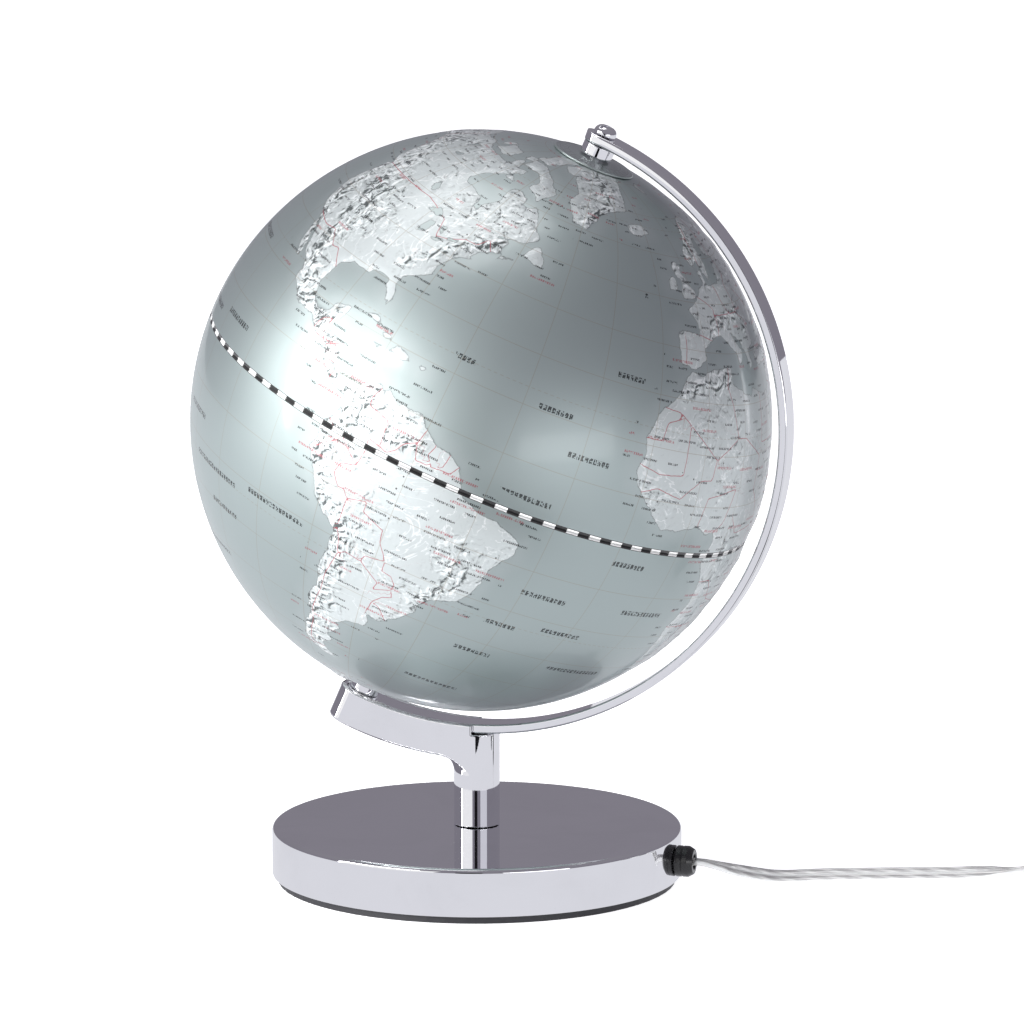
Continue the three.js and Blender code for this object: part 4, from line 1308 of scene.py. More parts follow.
@dataclass
class Bench:
    """Turns surfaces into finished pieces that ride on a body and stand for CAD nodes."""

    finishes: Finishes

    def piece(self, name: str, surface: Surface, body: str, slot: Slot, replaced: Sequence[str] = (),
              material: bpy.types.Material | None = None) -> bpy.types.Object:
        """Makes a piece.

        Args:
            name: the piece's name.
            surface: its shape.
            body: the body that it rides on.
            slot: the record's slot that it takes its finish from.
            replaced: the CAD nodes that it stands for.
            material: its own material, where it isn't the slot's plain one.

        Returns:
            The piece.
        """
        made = surface.to_object(name)
        made.data.materials.append(material or self.finishes.of(slot))
        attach(made, body)
        if replaced:
            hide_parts(*replaced)
        LOG.info("%s: %d points", name, len(surface.points))
        return made

    def dress_nodes(self, record: dict) -> None:
        """Gives every CAD node its slot's material."""
        for row in record["subparts"]:
            node = frame["nodes"][row["node"]]
            material = self.finishes.of(Slot(row["material_slot"]))
            node.data.materials.clear()
            node.data.materials.append(material)


# ---------------------------------------------------------------- places of the pieces


TILT = math.radians(23.5)
BALL = frame_along((2, 0, 201.5), (math.sin(TILT), 0, math.cos(TILT)))
LEAD_HEADING = math.radians(17.5)
LEAD = Frame(
    np.array([238.5, 59.5, 0]),
    np.array([math.cos(LEAD_HEADING), math.sin(LEAD_HEADING), 0]),
    np.array([-math.sin(LEAD_HEADING), math.cos(LEAD_HEADING), 0]),
    STAND.z,
)


def eased(amount: Array) -> Array:
    """A smooth rise from 0 to 1: half of 1 - cos(pi a), with a held within 0 to 1."""
    return 0.5 - 0.5 * np.cos(math.pi * np.clip(amount, 0, 1))


def flowing(points: Array, step: float) -> Array:
    """A smooth line through points, sampled at even steps along its length.

    Each span is a cubic whose end slopes are the neighbouring spans' slopes, weighted by length.
    """
    spans = np.linalg.norm(np.diff(points, axis=0), axis=1)[:, None]
    slopes = np.diff(points, axis=0) / spans
    inner = (slopes[1:] * spans[:-1] + slopes[:-1] * spans[1:]) / (spans[:-1] + spans[1:])
    slope = np.concatenate([slopes[:1], inner, slopes[-1:]])
    t = np.linspace(0, 1, 9)[:-1, None, None]
    a, b, h = points[:-1], points[1:], spans
    line = ((1 + 2 * t) * (1 - t) ** 2 * a + t**2 * (3 - 2 * t) * b
            + h * t * (1 - t) ** 2 * slope[:-1] - h * t**2 * (1 - t) * slope[1:])
    line = np.concatenate([line.transpose(1, 0, 2).reshape(-1, 3), points[-1:]])
    length = np.concatenate([[0], np.cumsum(np.linalg.norm(np.diff(line, axis=0), axis=1))])
    even = np.linspace(0, length[-1], math.ceil(length[-1] / step) + 1)
    return np.stack([np.interp(even, length, line[:, k]) for k in range(3)], -1)


# ---------------------------------------------------------------- the cord and what is on it


@dataclass
class Cord:
    """The clear twin cord: from the base past the lead switch to a coil and the plug.

    It lies flat in the coil. Between the base and the switch it leans up on one edge.
    """

    lobe: float = 1.35
    declared_length: float = 1800.0
    outer: float = 31.0
    lane: float = 5.6
    layer: float = 2.8
    turns: float = 8.5
    middle: tuple[float, float] = (84.5, -31.0)
    lean: float = math.radians(72)
    step: float = 1.9
    changes: int = 8
    change_every: float = 335.0
    first_change: float = 310.0
    lane_change: float = 100.0
    layer_change: float = 60.0
    lean_from: tuple[float, float] = (99.0, 22.0)
    lean_until: tuple[float, float] = (231.0, 26.0)
    run: tuple[tuple[float, float, float], ...] = (
        (97.3, 0, 12.5), (101, 0.2, 12.3), (106, 1.3, 11.2), (111, 4, 9.3), (116, 8, 7), (121, 13, 4.7),
        (126, 17.8, 2.9), (132, 22.8, 1.8), (139, 27.2, 1.5), (148, 31.2, 1.5), (158, 34.6, 1.5),
        (174, 39.6, 1.5), (192, 45, 1.5), (208, 49.9, 1.7), (222, 54.3, 2.7), (231, 57.1, 3.7),
    )
    through: tuple[tuple[float, float, float], ...] = (
        (0, 0, 4.2), (20, 0, 4.2), (40, 0, 4.2), (57, 0, 4.2), (64, 0, 3.7), (71, 0, 2.7), (78, 0, 1.8),
    )
    leaving: tuple[tuple[float, float, float], ...] = (
        (79, -62, 12.5), (74, -62, 11.6), (69, -62, 9.7), (64, -62, 7.9), (59, -62, 7.2), (52, -62, 7.15),
    )

    def coil(self) -> Array:
        """The coil's centreline in the lead's frame.

        The turns lie in two lanes and five layers. A change of lane, inwards or outwards, takes
        turns with a change of layer. It comes every 335 degrees, a little earlier in each turn, so
        that no two changes meet.
        """
        angle = np.arange(0, 360 * self.turns + 1, 4.0)
        inward, up = np.zeros(len(angle)), np.zeros(len(angle))
        for change in range(self.changes):
            past = angle - self.first_change - self.change_every * change
            if change % 2:
                up += eased(0.5 + past / self.layer_change)
            else:
                inward += (1 - change % 4) * eased(0.5 + past / self.lane_change)
        r = self.outer - self.lane * inward
        a = np.radians(angle)
        return np.stack([self.middle[0] + r * np.sin(a), self.middle[1] + r * np.cos(a),
                         1.5 + self.layer * up], -1)

    def roll(self, points: Array) -> Array:
        """How far the section leans at each point: up on its edge between the base and the switch."""
        x = points[:, 0]
        (start, rise), (end, fall) = self.lean_from, self.lean_until
        return self.lean * eased((x - start) / rise) * eased((end - x) / fall)

    def centreline(self) -> Array:
        """The whole centreline in millimetres, in the stand's frame."""
        lead = LEAD.put(np.concatenate([self.through, self.coil(), self.leaving]))
        line = flowing(np.concatenate([np.array(self.run, float), lead]), self.step)
        line[:, 2] += self.lobe * np.sin(self.roll(line)) * eased((line[:, 0] - 105) / 20)
        return line

    def surface(self, line: Array) -> Surface:
        """The skin round the centreline: two round lobes pinched together where they meet."""
        right = np.radians(np.linspace(-150, 150, 12))
        section = np.stack([self.lobe * (1 + np.cos(right)), self.lobe * np.sin(right)], -1)
        section = np.concatenate([section, -section])
        along = np.gradient(line, axis=0)
        along /= np.linalg.norm(along, axis=1, keepdims=True)
        side = np.cross(STAND.z, along)
        side /= np.linalg.norm(side, axis=1, keepdims=True)
        upward = np.cross(along, side)
        roll = self.roll(line)[:, None]
        wide = side * np.cos(roll) + upward * np.sin(roll)
        thin = upward * np.cos(roll) - side * np.sin(roll)
        rings = line[:, None] + section[:, :1] * wide[:, None] + section[:, 1:] * thin[:, None]
        skin = skinned(rings)
        length = np.concatenate([[0], np.cumsum(np.linalg.norm(np.diff(line, axis=0), axis=1))])
        ends = np.array([0.0, length[-1]])
        across = np.tile(section[:, 0], len(line))
        skin.attributes["across"] = np.concatenate([across, [0.0, 0.0]])
        skin.attributes["along"] = np.concatenate([np.repeat(length, len(section)), ends])
        return skin

    def build(self, bench: Bench) -> tuple[bpy.types.Object, Array]:
        """Makes the cord and returns it with its centreline."""
        line = self.centreline()
        clear = ClearTwin(self.lobe).material("clear_twin")
        replaced = ("cord_run", "cord_coil")
        return bench.piece("twin_cord", self.surface(line), "stand", Slot.CLEAR, replaced, clear), line

    def declare(self, line: Array) -> None:
        tuple(line[0] * MM)
        4 * self.lobe * MM
        (line * MM).tolist()


@dataclass
class LeadSwitch:
    """The black in-line switch: a base, a hollow cover with a window, and a rocker in it."""

    plan: tuple[tuple[float, float], ...] = (
        (0, -7), (13, -13), (47, -13), (60, -7), (60, 7), (47, 13), (13, 13), (0, 7),
    )
    base_low: float = 0.2
    base_high: float = 4.05
    cover_low: float = 4.35
    cover_high: float = 17.0
    wall: float = 1.8
    window: tuple[float, float] = (21.0, 9.8)
    window_frame: float = 2.0
    cover_edge: float = 3.2
    window_edge: float = 0.8
    seam_height: float = 6.2
    seam: float = 0.35
    cell: float = 0.45
    centre: float = 30.0
    cord_height: float = 4.2
    cord_half: tuple[float, float] = (2.9, 1.65)
    pivot: float = 11.5
    lean: float = math.radians(8)
    rocker_width: float = 9.0
    trunnion: tuple[float, float] = (1.0, 12.4)
    side_rounding: tuple[tuple[float, float], ...] = ((1.0, 0.9), (0.985, 0.955), (0.95, 0.985), (0.9, 1.0))
    outline: tuple[tuple[float, float], ...] = (
        (-3, 8.5), (3, 8.5), (9, 14), (9, 18.6), (0, 17.7), (-9, 18.6), (-9, 14),
    )

    def inset_plan(self, inset: float) -> Array:
        """The plan drawn in by about inset on every side."""
        corners = np.array(self.plan, float)
        middle = np.array([self.centre, 0.0])
        half = np.abs(corners - middle).max(0)
        return middle + (corners - middle) * (1 - inset / half)

    def cord_way(self, p: Array) -> Array:
        """The distance to the flat way that the cord takes through the switch."""
        a = np.abs(p[:, 1]) - self.cord_half[0] + self.cord_half[1]
        return np.hypot(np.maximum(a, 0), p[:, 2] - self.cord_height) - self.cord_half[1]

    def base(self, p: Array) -> Array:
        """The distance to the base."""
        block = prism_distance(p, self.plan, self.base_low, self.base_high, 1.0)
        return soft_cut(block, -self.cord_way(p), 0.5)

    def opening(self, p: Array, margin: float, low: float, high: float) -> Array:
        """The distance to a block as wide and long as the window and a margin, from low to high."""
        w, h = self.window[0] / 2 + margin, self.window[1] / 2 + margin
        left, right = self.centre - w, self.centre + w
        corners = ((left, -h), (right, -h), (right, h), (left, h))
        return prism_distance(p, corners, low, high, self.window_edge)

    def cover(self, p: Array) -> Array:
        """The distance to the cover: an outer prism less an inner one, the window and the cord's way.

        A frame stands round the window inside, and a seam runs round the outside.
        """
        shell = prism_distance(p, self.plan, self.cover_low - 4, self.cover_high, self.cover_edge)
        shell = np.maximum(shell, self.cover_low - p[:, 2])
        room = prism_distance(p, self.inset_plan(self.wall), -5, self.cover_high - self.wall, 2.0)
        framed = self.opening(p, self.window_frame, 12, self.cover_high)
        shell = soft_cut(shell, -room, 0.6)
        shell = soft_union(shell, np.maximum(framed, -room), 0.3)
        shell = soft_cut(shell, -self.opening(p, 0, 10, 30), 0.8)
        side = np.minimum(prism_distance(p, self.plan, -50, 50, self.cover_edge), 2)
        seam = np.hypot(p[:, 2] - self.seam_height, side) - self.seam
        return soft_cut(soft_cut(shell, -self.cord_way(p), 0.5), -seam, 0.3)

    def rocker(self) -> Surface:
        """The rocker: its outline across the switch with softened sides, and its trunnion."""
        rounded = filleted(self.outline, 0.9, 4, closed=True) - np.array([0, self.pivot])
        c, s = math.cos(self.lean), math.sin(self.lean)
        leaned = rounded @ np.array([[c, -s], [s, c]])
        centre = leaned.mean(0)
        half = self.rocker_width / 2
        rings = []
        for out, shrink in self.side_rounding:
            flat = centre + (leaned - centre) * shrink
            side = np.full(len(flat), -half * out)
            rings.append(np.stack([self.centre + flat[:, 0], side, self.pivot + flat[:, 1]], -1))
        mirrored = [ring * np.array([1, -1, 1]) for ring in reversed(rings)]
        stack = np.stack([*rings, *mirrored])
        body = skinned(LEAD.put(stack.reshape(-1, 3)).reshape(stack.shape))
        body.outward()
        r, long = self.trunnion
        hinge = Frame(LEAD.put(np.array([self.centre, 0, self.pivot])), LEAD.z, LEAD.x, LEAD.y)
        profile = filleted(((0, -long / 2), (r, -long / 2), (r, long / 2), (0, long / 2)), 0.3, 3)
        return body.joined(turned(profile, hinge, 24).outward())

    def build(self, bench: Bench) -> list[bpy.types.Object]:
        """Makes the switch's pieces."""
        base = cast(self.base, (-1, -14, 0), (61, 14, 5), self.cell, LEAD)
        cover = cast(self.cover, (-1, -14, 0), (61, 14, 18), self.cell, LEAD)
        return [
            bench.piece("switch_lower", base, "stand", Slot.BLACK, ("switch_base",)),
            bench.piece("switch_upper", cover, "stand", Slot.BLACK, ("switch_cover",)),
            bench.piece("switch_tip", self.rocker(), "rocker", Slot.BLACK, ("switch_rocker",)),
        ]


@dataclass
class Plug:
    """The moulded two-pin plug at the cord's end."""

    lateral: float = -62.0
    tail: float = 60.0
    face: float = 25.0
    shoulder: float = 44.0
    half_width: float = 13.0
    half_tail: float = 5.0
    low: float = 0.3
    high: float = 14.0
    pin: float = 2.0
    pin_spread: float = 9.3
    pin_height: float = 7.15
    pin_tip: float = 6.0
    pin_root: float = 4.0
    grooves: tuple[float, ...] = (34.0, 38.0, 42.0)
    groove: float = 1.3
    groove_out: float = 0.5
    cell: float = 0.45

    def body(self, p: Array) -> Array:
        """The distance to the body, a block that narrows to its tail, with grooves to grip."""
        q = p - np.array([0, self.lateral, 0])
        wide, narrow = self.half_width, self.half_tail
        plan = ((self.face, -wide), (self.shoulder, -wide), (self.tail, -narrow),
                (self.tail, narrow), (self.shoulder, wide), (self.face, wide))
        form = prism_distance(q, plan, self.low, self.high, 2.6)
        for at in self.grooves:
            along = q[:, 0] - at
            side = np.hypot(along, np.abs(q[:, 1]) - wide - self.groove_out) - self.groove
            top = np.hypot(along, q[:, 2] - self.high - self.groove_out) - self.groove
            form = soft_cut(form, -np.minimum(side, top), 0.5)
        return form

    def build(self, bench: Bench) -> list[bpy.types.Object]:
        """Makes the body and the two pins."""
        low = (self.face - 1, self.lateral - self.half_width - 1, 0)
        high = (self.tail + 1, self.lateral + self.half_width + 1, self.high + 1)
        moulding = cast(self.body, low, high, self.cell, LEAD)
        made = [bench.piece("plug_moulding", moulding, "stand", Slot.BLACK, ("plug_body",))]
        root = self.face + self.pin_root
        corners = ((0, self.pin_tip), (self.pin, self.pin_tip), (self.pin, root), (0, root))
        profile = filleted(corners, (0, 1.2, 0.1, 0), 6)
        for number, side in enumerate((1, -1), 1):
            centre = np.array([0, self.lateral + side * self.pin_spread, self.pin_height])
            pin = turned(profile, Frame(LEAD.put(centre), LEAD.y, LEAD.z, LEAD.x), 40)
            replaced = (f"plug_pin_{number}",)
            made.append(bench.piece(f"contact_pin_{number}", pin, "stand", Slot.STEEL, replaced))
        return made


# ---------------------------------------------------------------- the stand


@dataclass
class Base:
    """The round chromed base and the black gland in its side."""

    radius: float = 89.0
    low: float = 3.3
    high: float = 24.0
    wall: float = 1.6
    edge: float = 1.9
    gland_height: float = 12.5
    gland_radii: tuple[float, float, float, float, float] = (3.2, 5.0, 6.75, 6.35, 5.4)
    gland_reach: tuple[float, float, float] = (80.0, 89.3, 97.0)

    def shell(self) -> Surface:
        """The hollow shell, open underneath."""
        r, w = self.radius, self.wall
        ceiling = self.high - w
        corners = ((0, self.high), (r, self.high), (r, self.low), (r - w, self.low), (r - w, ceiling),
                   (0, ceiling))
        return turned(filleted(corners, (0, self.edge, 0.4, 0.4, 1.0, 0), 12), STAND, 288)

    def gland(self) -> Surface:
        """The gland along +X: a neck through the shell, a flange with a groove and a tapered nose."""
        bore, neck, flange, groove, nose = self.gland_radii
        back, seat, tip = self.gland_reach
        corners = ((bore, back), (neck, back), (neck, seat), (flange, seat), (flange, 91.6), (groove, 92),
                   (flange, 92.4), (flange, 94.6), (nose, tip), (3.6, tip), (bore, 96.6), (bore, back))
        profile = filleted(corners, (0, 0.3, 0.2, 0.5, 0.3, 0.2, 0.3, 0.8, 0.5, 0.2, 0.2, 0), 4)
        return turned(profile, frame_along((0, 0, self.gland_height), (1, 0, 0)), 72)

    def build(self, bench: Bench) -> None:
        """Makes the pieces."""
        bench.piece("base_casing", self.shell(), "stand", Slot.CHROME, ("base_shell",))
        bench.piece("gland_body", self.gland(), "stand", Slot.BLACK, ("cord_gland",))


@dataclass
class Support:
    """The post with its curved arm, the half-round strip and the fittings at its two ends."""

    channel_depth: float = 136.3
    arm_outer: float = 147.0
    half_width: float = 10.0
    arm_end: float = -10.0
    arm_corner: float = 8.0
    post: float = 10.0
    post_foot: float = 24.3
    bore: tuple[float, float] = (5.3, 46.0)
    fillet: float = 8.0
    channel: float = 7.8
    strip: tuple[float, float] = (132.0, 136.0)
    strip_half: float = 7.5
    screw_head: tuple[float, float, float] = (5.0, 136.3, 140.5)
    screw_shank: tuple[float, float] = (2.0, 114.0)
    slot: tuple[float, float] = (1.2, 1.6)
    slot_turn: float = math.radians(60)
    dome_from: float = 0.6
    dome_height: float = 0.9
    upper: tuple[float, float, float, float] = (2.3, 7.0, 126.5, 131.7)
    lower: tuple[float, float, float, float] = (5.3, 6.5, -131.7, -126.6)

    def bracket(self, p: Array) -> Array:
        """The distance to the post and arm, blended where they meet, with the strip's channel.

        The arm lies between two cylinders about the ball's centre. Seen from the centre it is a
        rounded rectangle, and the channel that holds the strip ends in a round.
        """
        q = p - BALL.origin
        out, across, beside = np.hypot(q[:, 0], q[:, 2]), np.abs(p[:, 1]), q @ BALL.x
        plan = np.stack([across - self.half_width, self.arm_end - beside], -1) + self.arm_corner
        flat = np.linalg.norm(np.maximum(plan, 0), axis=1) + np.minimum(plan.max(1), 0)
        arm = soft_cut(out - self.arm_outer, flat - self.arm_corner, 1.2)
        post = np.hypot(p[:, 0], p[:, 1]) - self.post
        grown = soft_cut(soft_union(arm, post, self.fillet), across - self.half_width, 0.05)
        both = np.where(p[:, 0] < 0, grown, post)
        both = soft_cut(both, self.strip[0] - out, 0.8)
        reach = np.where(beside < 0, np.hypot(beside, across), across) - self.channel
        channel = np.maximum(out - self.channel_depth, np.minimum(reach, -p[:, 0]))
        both = soft_cut(both, -channel, 0.3)
        both = np.maximum(both, self.post_foot - p[:, 2])
        hole = np.maximum(np.hypot(p[:, 0], p[:, 1]) - self.bore[0], p[:, 2] - self.bore[1])
        return np.maximum(both, -hole)

    def half_ring(self) -> Surface:
        """The strip: a rounded section swept round the ball's +x side.

        Its width falls as the cosine of a quarter turn at each end, which makes the ends round.
        """
        inner, outer = self.strip
        middle, half = (inner + outer) / 2, self.strip_half
        ease = np.linspace(0, math.pi / 2, 14)
        cap = math.pi / 2 + half / middle * np.sin(ease)
        widths = half * np.cos(ease)
        run = np.linspace(-math.pi / 2, math.pi / 2, 241)[1:-1]
        angle = np.concatenate([-cap[::-1], run, cap])[1:-1]
        width = np.concatenate([widths[::-1], np.full(len(run), half), widths])[1:-1]
        section = box_outline(2 * half, outer - inner, 0.9, 5)
        r = middle + section[None, :, 1]
        y = section[None, :, 0] * (width / half)[:, None]
        a = angle[:, None]
        rings = np.stack([r * np.cos(a), y * np.ones_like(r), r * np.sin(a)], -1)
        return skinned(BALL.put(rings.reshape(-1, 3)).reshape(rings.shape))

    def screw(self, p: Array) -> Array:
        """The distance to the pivot screw: a slotted round head on a shank."""
        radial = np.hypot(p[:, 0], p[:, 1])
        r, low, high = self.screw_head
        rise = np.maximum(p[:, 2] - low - self.dome_from, 0) / (high - low - self.dome_from)
        dome = np.sqrt(radial**2 + (self.dome_height * rise * r) ** 2 + 1e-9)
        head = soft_cut(dome - r, low - p[:, 2], 0.4)
        head = soft_cut(head, p[:, 2] - high, 1.5)
        along = p[:, 0] * math.sin(self.slot_turn) - p[:, 1] * math.cos(self.slot_turn)
        slot = np.maximum(np.abs(along) - self.slot[0] / 2, high - self.slot[1] - p[:, 2])
        head = soft_cut(head, -slot, 0.3)
        shank_radius, shank_end = self.screw_shank
        span = np.maximum(shank_end - p[:, 2], p[:, 2] - low - 1)
        return np.minimum(head, np.maximum(radial - shank_radius, span))

    def ring(self, inner: float, outer: float, low: float, high: float) -> Surface:
        """A plain collar about the ball's axis with eased edges."""
        corners = ((inner, low), (outer, low), (outer, high), (inner, high), (inner, low))
        return turned(filleted(corners, (0, 0.5, 0.5, 0.3, 0), 5), BALL, 96)

    def build(self, bench: Bench) -> None:
        """Makes the pieces."""
        bracket = cast(self.bracket, (-80, -11, 23), (12, 11, 84), 0.6)
        screw = cast(self.screw, (-6, -6, 113), (6, 6, 142), 0.22, BALL)
        for name, surface, node in (
            ("post_and_arm", bracket, "bracket"),
            ("half_ring", self.half_ring(), "meridian_arc"),
            ("slotted_screw", screw, "pivot_screw"),
            ("upper_collar", self.ring(*self.upper), "north_spacer"),
            ("lower_collar", self.ring(*self.lower), "south_spacer"),
        ):
            bench.piece(name, surface, "stand", Slot.CHROME, (node,))


# ---------------------------------------------------------------- the ball


@dataclass
class Ball:
    """The printed ball in two closed halves, and the disc at its north pole."""

    radius: float = 125.0
    wall: float = 2.0
    seam: float = 0.15
    holes: tuple[float, float] = (5.3, 9.3)
    columns: int = 576
    rows: int = 150
    inner_rows: int = 8
    map_turn: float = 28.9
    disc: tuple[float, float, float, float] = (125.3, 126.1, 3.0, 18.0)
    far_away: float = 20.0
    coast_step: float = 0.18
    crest: float = 0.55
    world: WorldMap = field(default_factory=WorldMap)

    def relief(self, lat: Array, land: Array, height: Array, points: Array) -> Array:
        """How far the skin stands out: a step up at the coasts, and crests on the ranges."""
        calm = np.clip((80 - np.abs(lat)) / 6, 0, 1) * np.clip((np.abs(lat) - 1.2) / 2.5, 0, 1)
        shore = np.clip(land / 2.5, 0, 1)
        shore = shore * shore * (3 - 2 * shore)
        crests = height * (0.62 + 0.38 * wavering(points, 11, 4, 60.0))
        return calm * shore * (self.coast_step + self.crest * crests)

    def latitudes(self, radius: float, hole: float, rows: int) -> Array:
        """Degrees of latitude on a sphere from the hole at its pole to the seam, in even steps."""
        return np.degrees(np.linspace(math.acos(hole / radius), math.asin(self.seam / radius), rows))

    def half(self, sign: int, hole: float) -> Surface:
        """One half of the ball: an outer skin, an inner skin, and the edges that join them.

        Args:
            sign: 1 for the northern half and -1 for the southern one.
            hole: the radius of the hole at its pole.

        Returns:
            The closed half.
        """
        lon = -180 + 360 * np.arange(self.columns) / self.columns
        inside_radius = self.radius - self.wall
        rows_out = self.latitudes(self.radius, hole, self.rows)
        rows_in = self.latitudes(inside_radius, hole, self.inner_rows)[::-1]
        lat = sign * np.concatenate([rows_out, rows_in])
        lonlat = np.stack(np.meshgrid(lon, lat), -1)
        unit = on_sphere(lonlat)
        flat, outer = unit.reshape(-1, 3), self.rows * self.columns
        land = np.full(len(flat), -self.far_away)
        height, border = np.zeros(len(flat)), np.full(len(flat), self.far_away)
        pairs = lonlat.reshape(-1, 2)
        land[:outer] = self.radius * self.world.land(pairs[:outer], flat[:outer])
        height[:outer] = self.world.height(flat[:outer])
        border[:outer] = self.radius * self.world.border(flat[:outer])
        r = np.full(len(flat), inside_radius)
        lift = self.relief(pairs[:outer, 1], land[:outer], height[:outer], flat[:outer])
        r[:outer] = self.radius + lift
        turn = np.radians(-self.map_turn)
        c, s = math.cos(turn), math.sin(turn)
        turned_unit = flat @ np.array([[c, s, 0], [-s, c, 0], [0, 0, 1]])
        rings = BALL.put(turned_unit * r[:, None]).reshape(len(lat), self.columns, 3)
        skin = skinned(rings, wrap_rings=True)
        skin.attributes = {"land": land, "height": height, "border": border}
        row, column = np.divmod(skin.quads, self.columns)
        crosses = column.max(1, keepdims=True) == self.columns - 1
        wrapped = np.where((column == 0) & crosses, self.columns, column)
        skin.uv = np.stack([wrapped / self.columns, (lat[row] + 90) / 180], -1)
        return skin

    def hour_disc(self) -> Surface:
        """The polar disc: a thin spherical cap with a raised rim, round a hole for the pivot."""
        low, high, hole, rim = self.disc
        face = np.linspace(hole + 1, rim - 1.3, 24)
        reach = np.concatenate([[hole, hole + 0.3], face, [rim - 0.9, rim - 0.4, rim]])
        lift = np.concatenate([[0, -0.15], np.full(len(face), -0.27), [-0.03, 0, -0.15]])
        top = np.stack([reach, np.sqrt((high + lift) ** 2 - reach**2)], -1)
        under = np.stack([reach[::-1], np.sqrt(low**2 - reach[::-1] ** 2)], -1)
        return turned(np.concatenate([top, under, top[:1]]), BALL, 192)

    def build(self, bench: Bench) -> None:
        """Makes the two halves and the disc."""
        print_finish = PrintedBall(self.radius).material("map_print")
        disc_finish = HourDisc(BALL).material("hour_marks")
        north, south = self.half(1, self.holes[0]), self.half(-1, self.holes[1])
        bench.piece("map_north", north, "globe", Slot.BALL, ("globe_north",), print_finish)
        bench.piece("map_south", south, "globe", Slot.BALL, ("globe_south",), print_finish)
        bench.piece("hour_disc", self.hour_disc(), "globe", Slot.CHROME, ("polar_disc",), disc_finish)


# ---------------------------------------------------------------- the studio


def emitting(name: str, colour: tuple[float, float, float], strength: float) -> bpy.types.Material:
    """A material that only gives light."""
    tree = Tree(name)
    lamp = tree.node("ShaderNodeEmission", None, colour, strength)
    tree.feed(tree.output.inputs["Surface"], lamp.outputs[0])
    return tree.owner


def aim(thing: bpy.types.Object, place: Sequence[float], target: Sequence[float], axis: str) -> None:
    """Puts an object at a place with one of its axes towards a target."""
    thing.location = place
    thing.rotation_mode = "QUATERNION"
    thing.rotation_quaternion = (Vector(target) - Vector(place)).to_track_quat(axis, "Y")


@dataclass(frozen=True)
class Light:
    """A soft rectangular light aimed at the object's middle."""

    name: str
    place: tuple[float, float, float]
    size: tuple[float, float]
    watts: float
    target: tuple[float, float, float] = (0, 0, 0.16)

    def build(self) -> None:
        """Hangs the light."""
        data = bpy.data.lights.new(self.name, "AREA")
        data.shape = "RECTANGLE"
        data.size, data.size_y = self.size
        data.energy = self.watts
        light = bpy.data.objects.new(self.name, data)
        aim(light, self.place, self.target, "-Z")
        bpy.context.scene.collection.objects.link(light)


@dataclass(frozen=True)
class Card:
    """A flat card that is seen only in reflections."""

    name: str
    centre: tuple[float, float, float]
    facing: tuple[float, float, float]
    size: tuple[float, float]
    colour: tuple[float, float, float]
    strength: float = 1.0

    def build(self) -> None:
        """Makes the card."""
        bpy.ops.mesh.primitive_plane_add(size=1)
        card = bpy.context.object
        card.name = self.name
        aim(card, self.centre, self.facing, "Z")
        card.scale = (*self.size, 1)
        card.data.materials.append(emitting(self.name, self.colour, self.strength))
        card.visible_camera = False
        card.visible_shadow = False
        card.visible_diffuse = False


LIGHTS = (
    Light("key", place=(-1.75, -1.75, 0.9), size=(2.2, 1.5), watts=100),
    Light("top", place=(-0.2, 0.1, 2.4), size=(1.6, 1.6), watts=14),
    Light("low_right", place=(1.3, -1.2, 0.05), size=(1.2, 0.5), watts=3.5),
)

CARDS = (
    Card("lower_sheet", centre=(0, 0, -0.01), facing=(0, 0, 1), size=(12, 12), colour=(0.77, 0.775, 0.82)),
    Card("black_card", centre=(0.17, -1.0, -0.005), facing=(0.17, -1.0, 1), size=(0.26, 1.4),
         colour=(0.01, 0.01, 0.012)),
    Card("centre_card", centre=(0.36, -2.0, 0.36), facing=(0.03, 0, 0.05), size=(0.52, 0.75),
         colour=(0.012, 0.011, 0.013)),
    Card("left_card", centre=(-1.25, -1.7, 0.62), facing=(0, 0, 0.15), size=(2.3, 1.25), colour=(1, 1, 1)),
    Card("right_card", centre=(1.5, -1.3, 0.32), facing=(0, 0, 0.05), size=(1.2, 0.5),
         colour=(0.78, 0.78, 0.84), strength=0.9),
)


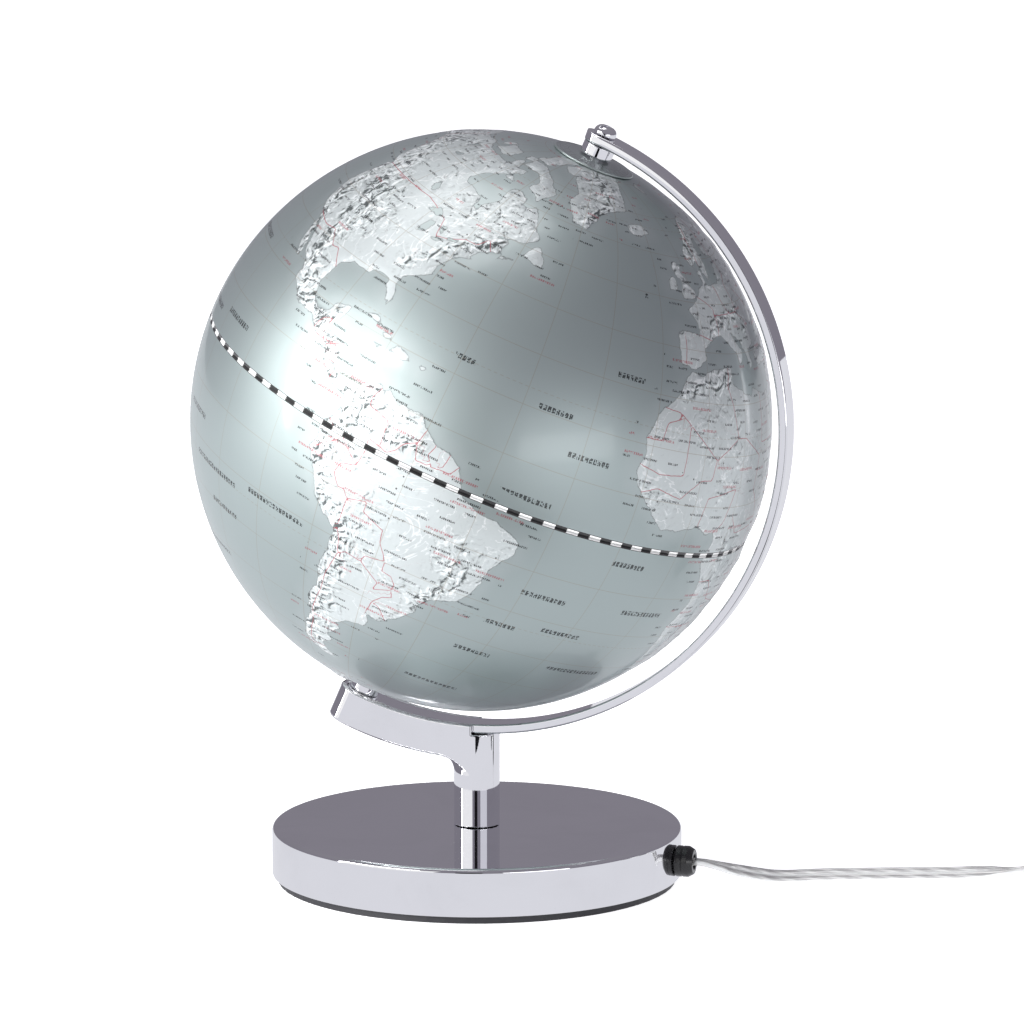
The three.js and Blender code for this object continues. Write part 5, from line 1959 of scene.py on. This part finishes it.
@dataclass
class Studio:
    """The camera, the pale floor, the soft lights and the cards."""

    camera_place: tuple[float, float, float] = (0.68206, -2.62963, 0.63169)
    camera_target: tuple[float, float, float] = (0.01642, -0.00263, 0.16263)
    lens: float = 224.8
    floor_size: float = 14.0
    floor_glow: float = 0.98
    lower_sky: tuple[float, float, float] = (0.225, 0.212, 0.25)
    upper_sky: tuple[float, float, float] = (0.26, 0.25, 0.28)

    def camera(self) -> None:
        """Places the camera."""
        data = bpy.data.cameras.new("camera")
        data.lens = self.lens
        data.sensor_width = 36
        data.clip_end = 100
        camera = bpy.data.objects.new("camera", data)
        aim(camera, self.camera_place, self.camera_target, "-Z")
        bpy.context.scene.collection.objects.link(camera)
        bpy.context.scene.camera = camera

    def floor(self) -> None:
        """Lays the floor; reflections see a softer, cooler sheet just below it instead."""
        bpy.ops.mesh.primitive_plane_add(size=self.floor_size)
        floor = bpy.context.object
        floor.name = "floor"
        tree = Tree("pale_floor")
        grain = tree.noise(tree.object_place(), 3, 3)
        pale = tree.mix(grain, (0.88, 0.88, 0.885), (0.9, 0.9, 0.905))
        paint = tree.surface(Base_Color=pale, Roughness=grain * 0.1 + 0.7, Emission_Color=pale,
                             Emission_Strength=self.floor_glow)
        floor.data.materials.append(paint)
        floor.visible_glossy = False

    def world(self) -> None:
        """White where the camera sees it, and a soft grey gradient by height in reflections."""
        tree = Tree("studio", world=True)
        bpy.context.scene.world = tree.owner
        around = tree.node("ShaderNodeTexCoord").outputs["Generated"]
        height = tree.node("ShaderNodeSeparateXYZ", None, around).outputs[2]
        stops = ((0.0, self.lower_sky), (1.0, self.upper_sky))
        grey = tree.node("ShaderNodeValToRGB", {"stops": stops}, height).outputs[0]
        soft = tree.node("ShaderNodeBackground", None, grey, 1.0).outputs[0]
        white = tree.node("ShaderNodeBackground", None, (1.0, 1.0, 1.0), 1.0).outputs[0]
        direct = tree.node("ShaderNodeLightPath").outputs["Is Camera Ray"]
        both = tree.node("ShaderNodeMixShader", None, direct, soft, white).outputs[0]
        tree.feed(tree.output.inputs["Surface"], both)

    def build(self) -> None:
        """Sets up everything but the camera."""
        bpy.context.scene.view_settings.view_transform = "Standard"
        self.floor()
        self.world()
        for thing in (*LIGHTS, *CARDS):
            thing.build()


# ---------------------------------------------------------------- the whole


def main() -> None:
    """Builds the studio and the object."""
    logging.basicConfig(level=logging.INFO, format="%(name)s: %(message)s")
    bench = Bench(Finishes())
    studio = Studio()
    studio.camera()
    cord = Cord()
    piece, line = cord.build(bench)
    on_it = [*LeadSwitch().build(bench), *Plug().build(bench), frame["nodes"]["switch_contact"]]
    cord.declare(line)
    Base().build(bench)
    Support().build(bench)
    Ball().build(bench)
    bench.dress_nodes(frame["record"])
    studio.build()


if __name__ == "__main__":
    main()
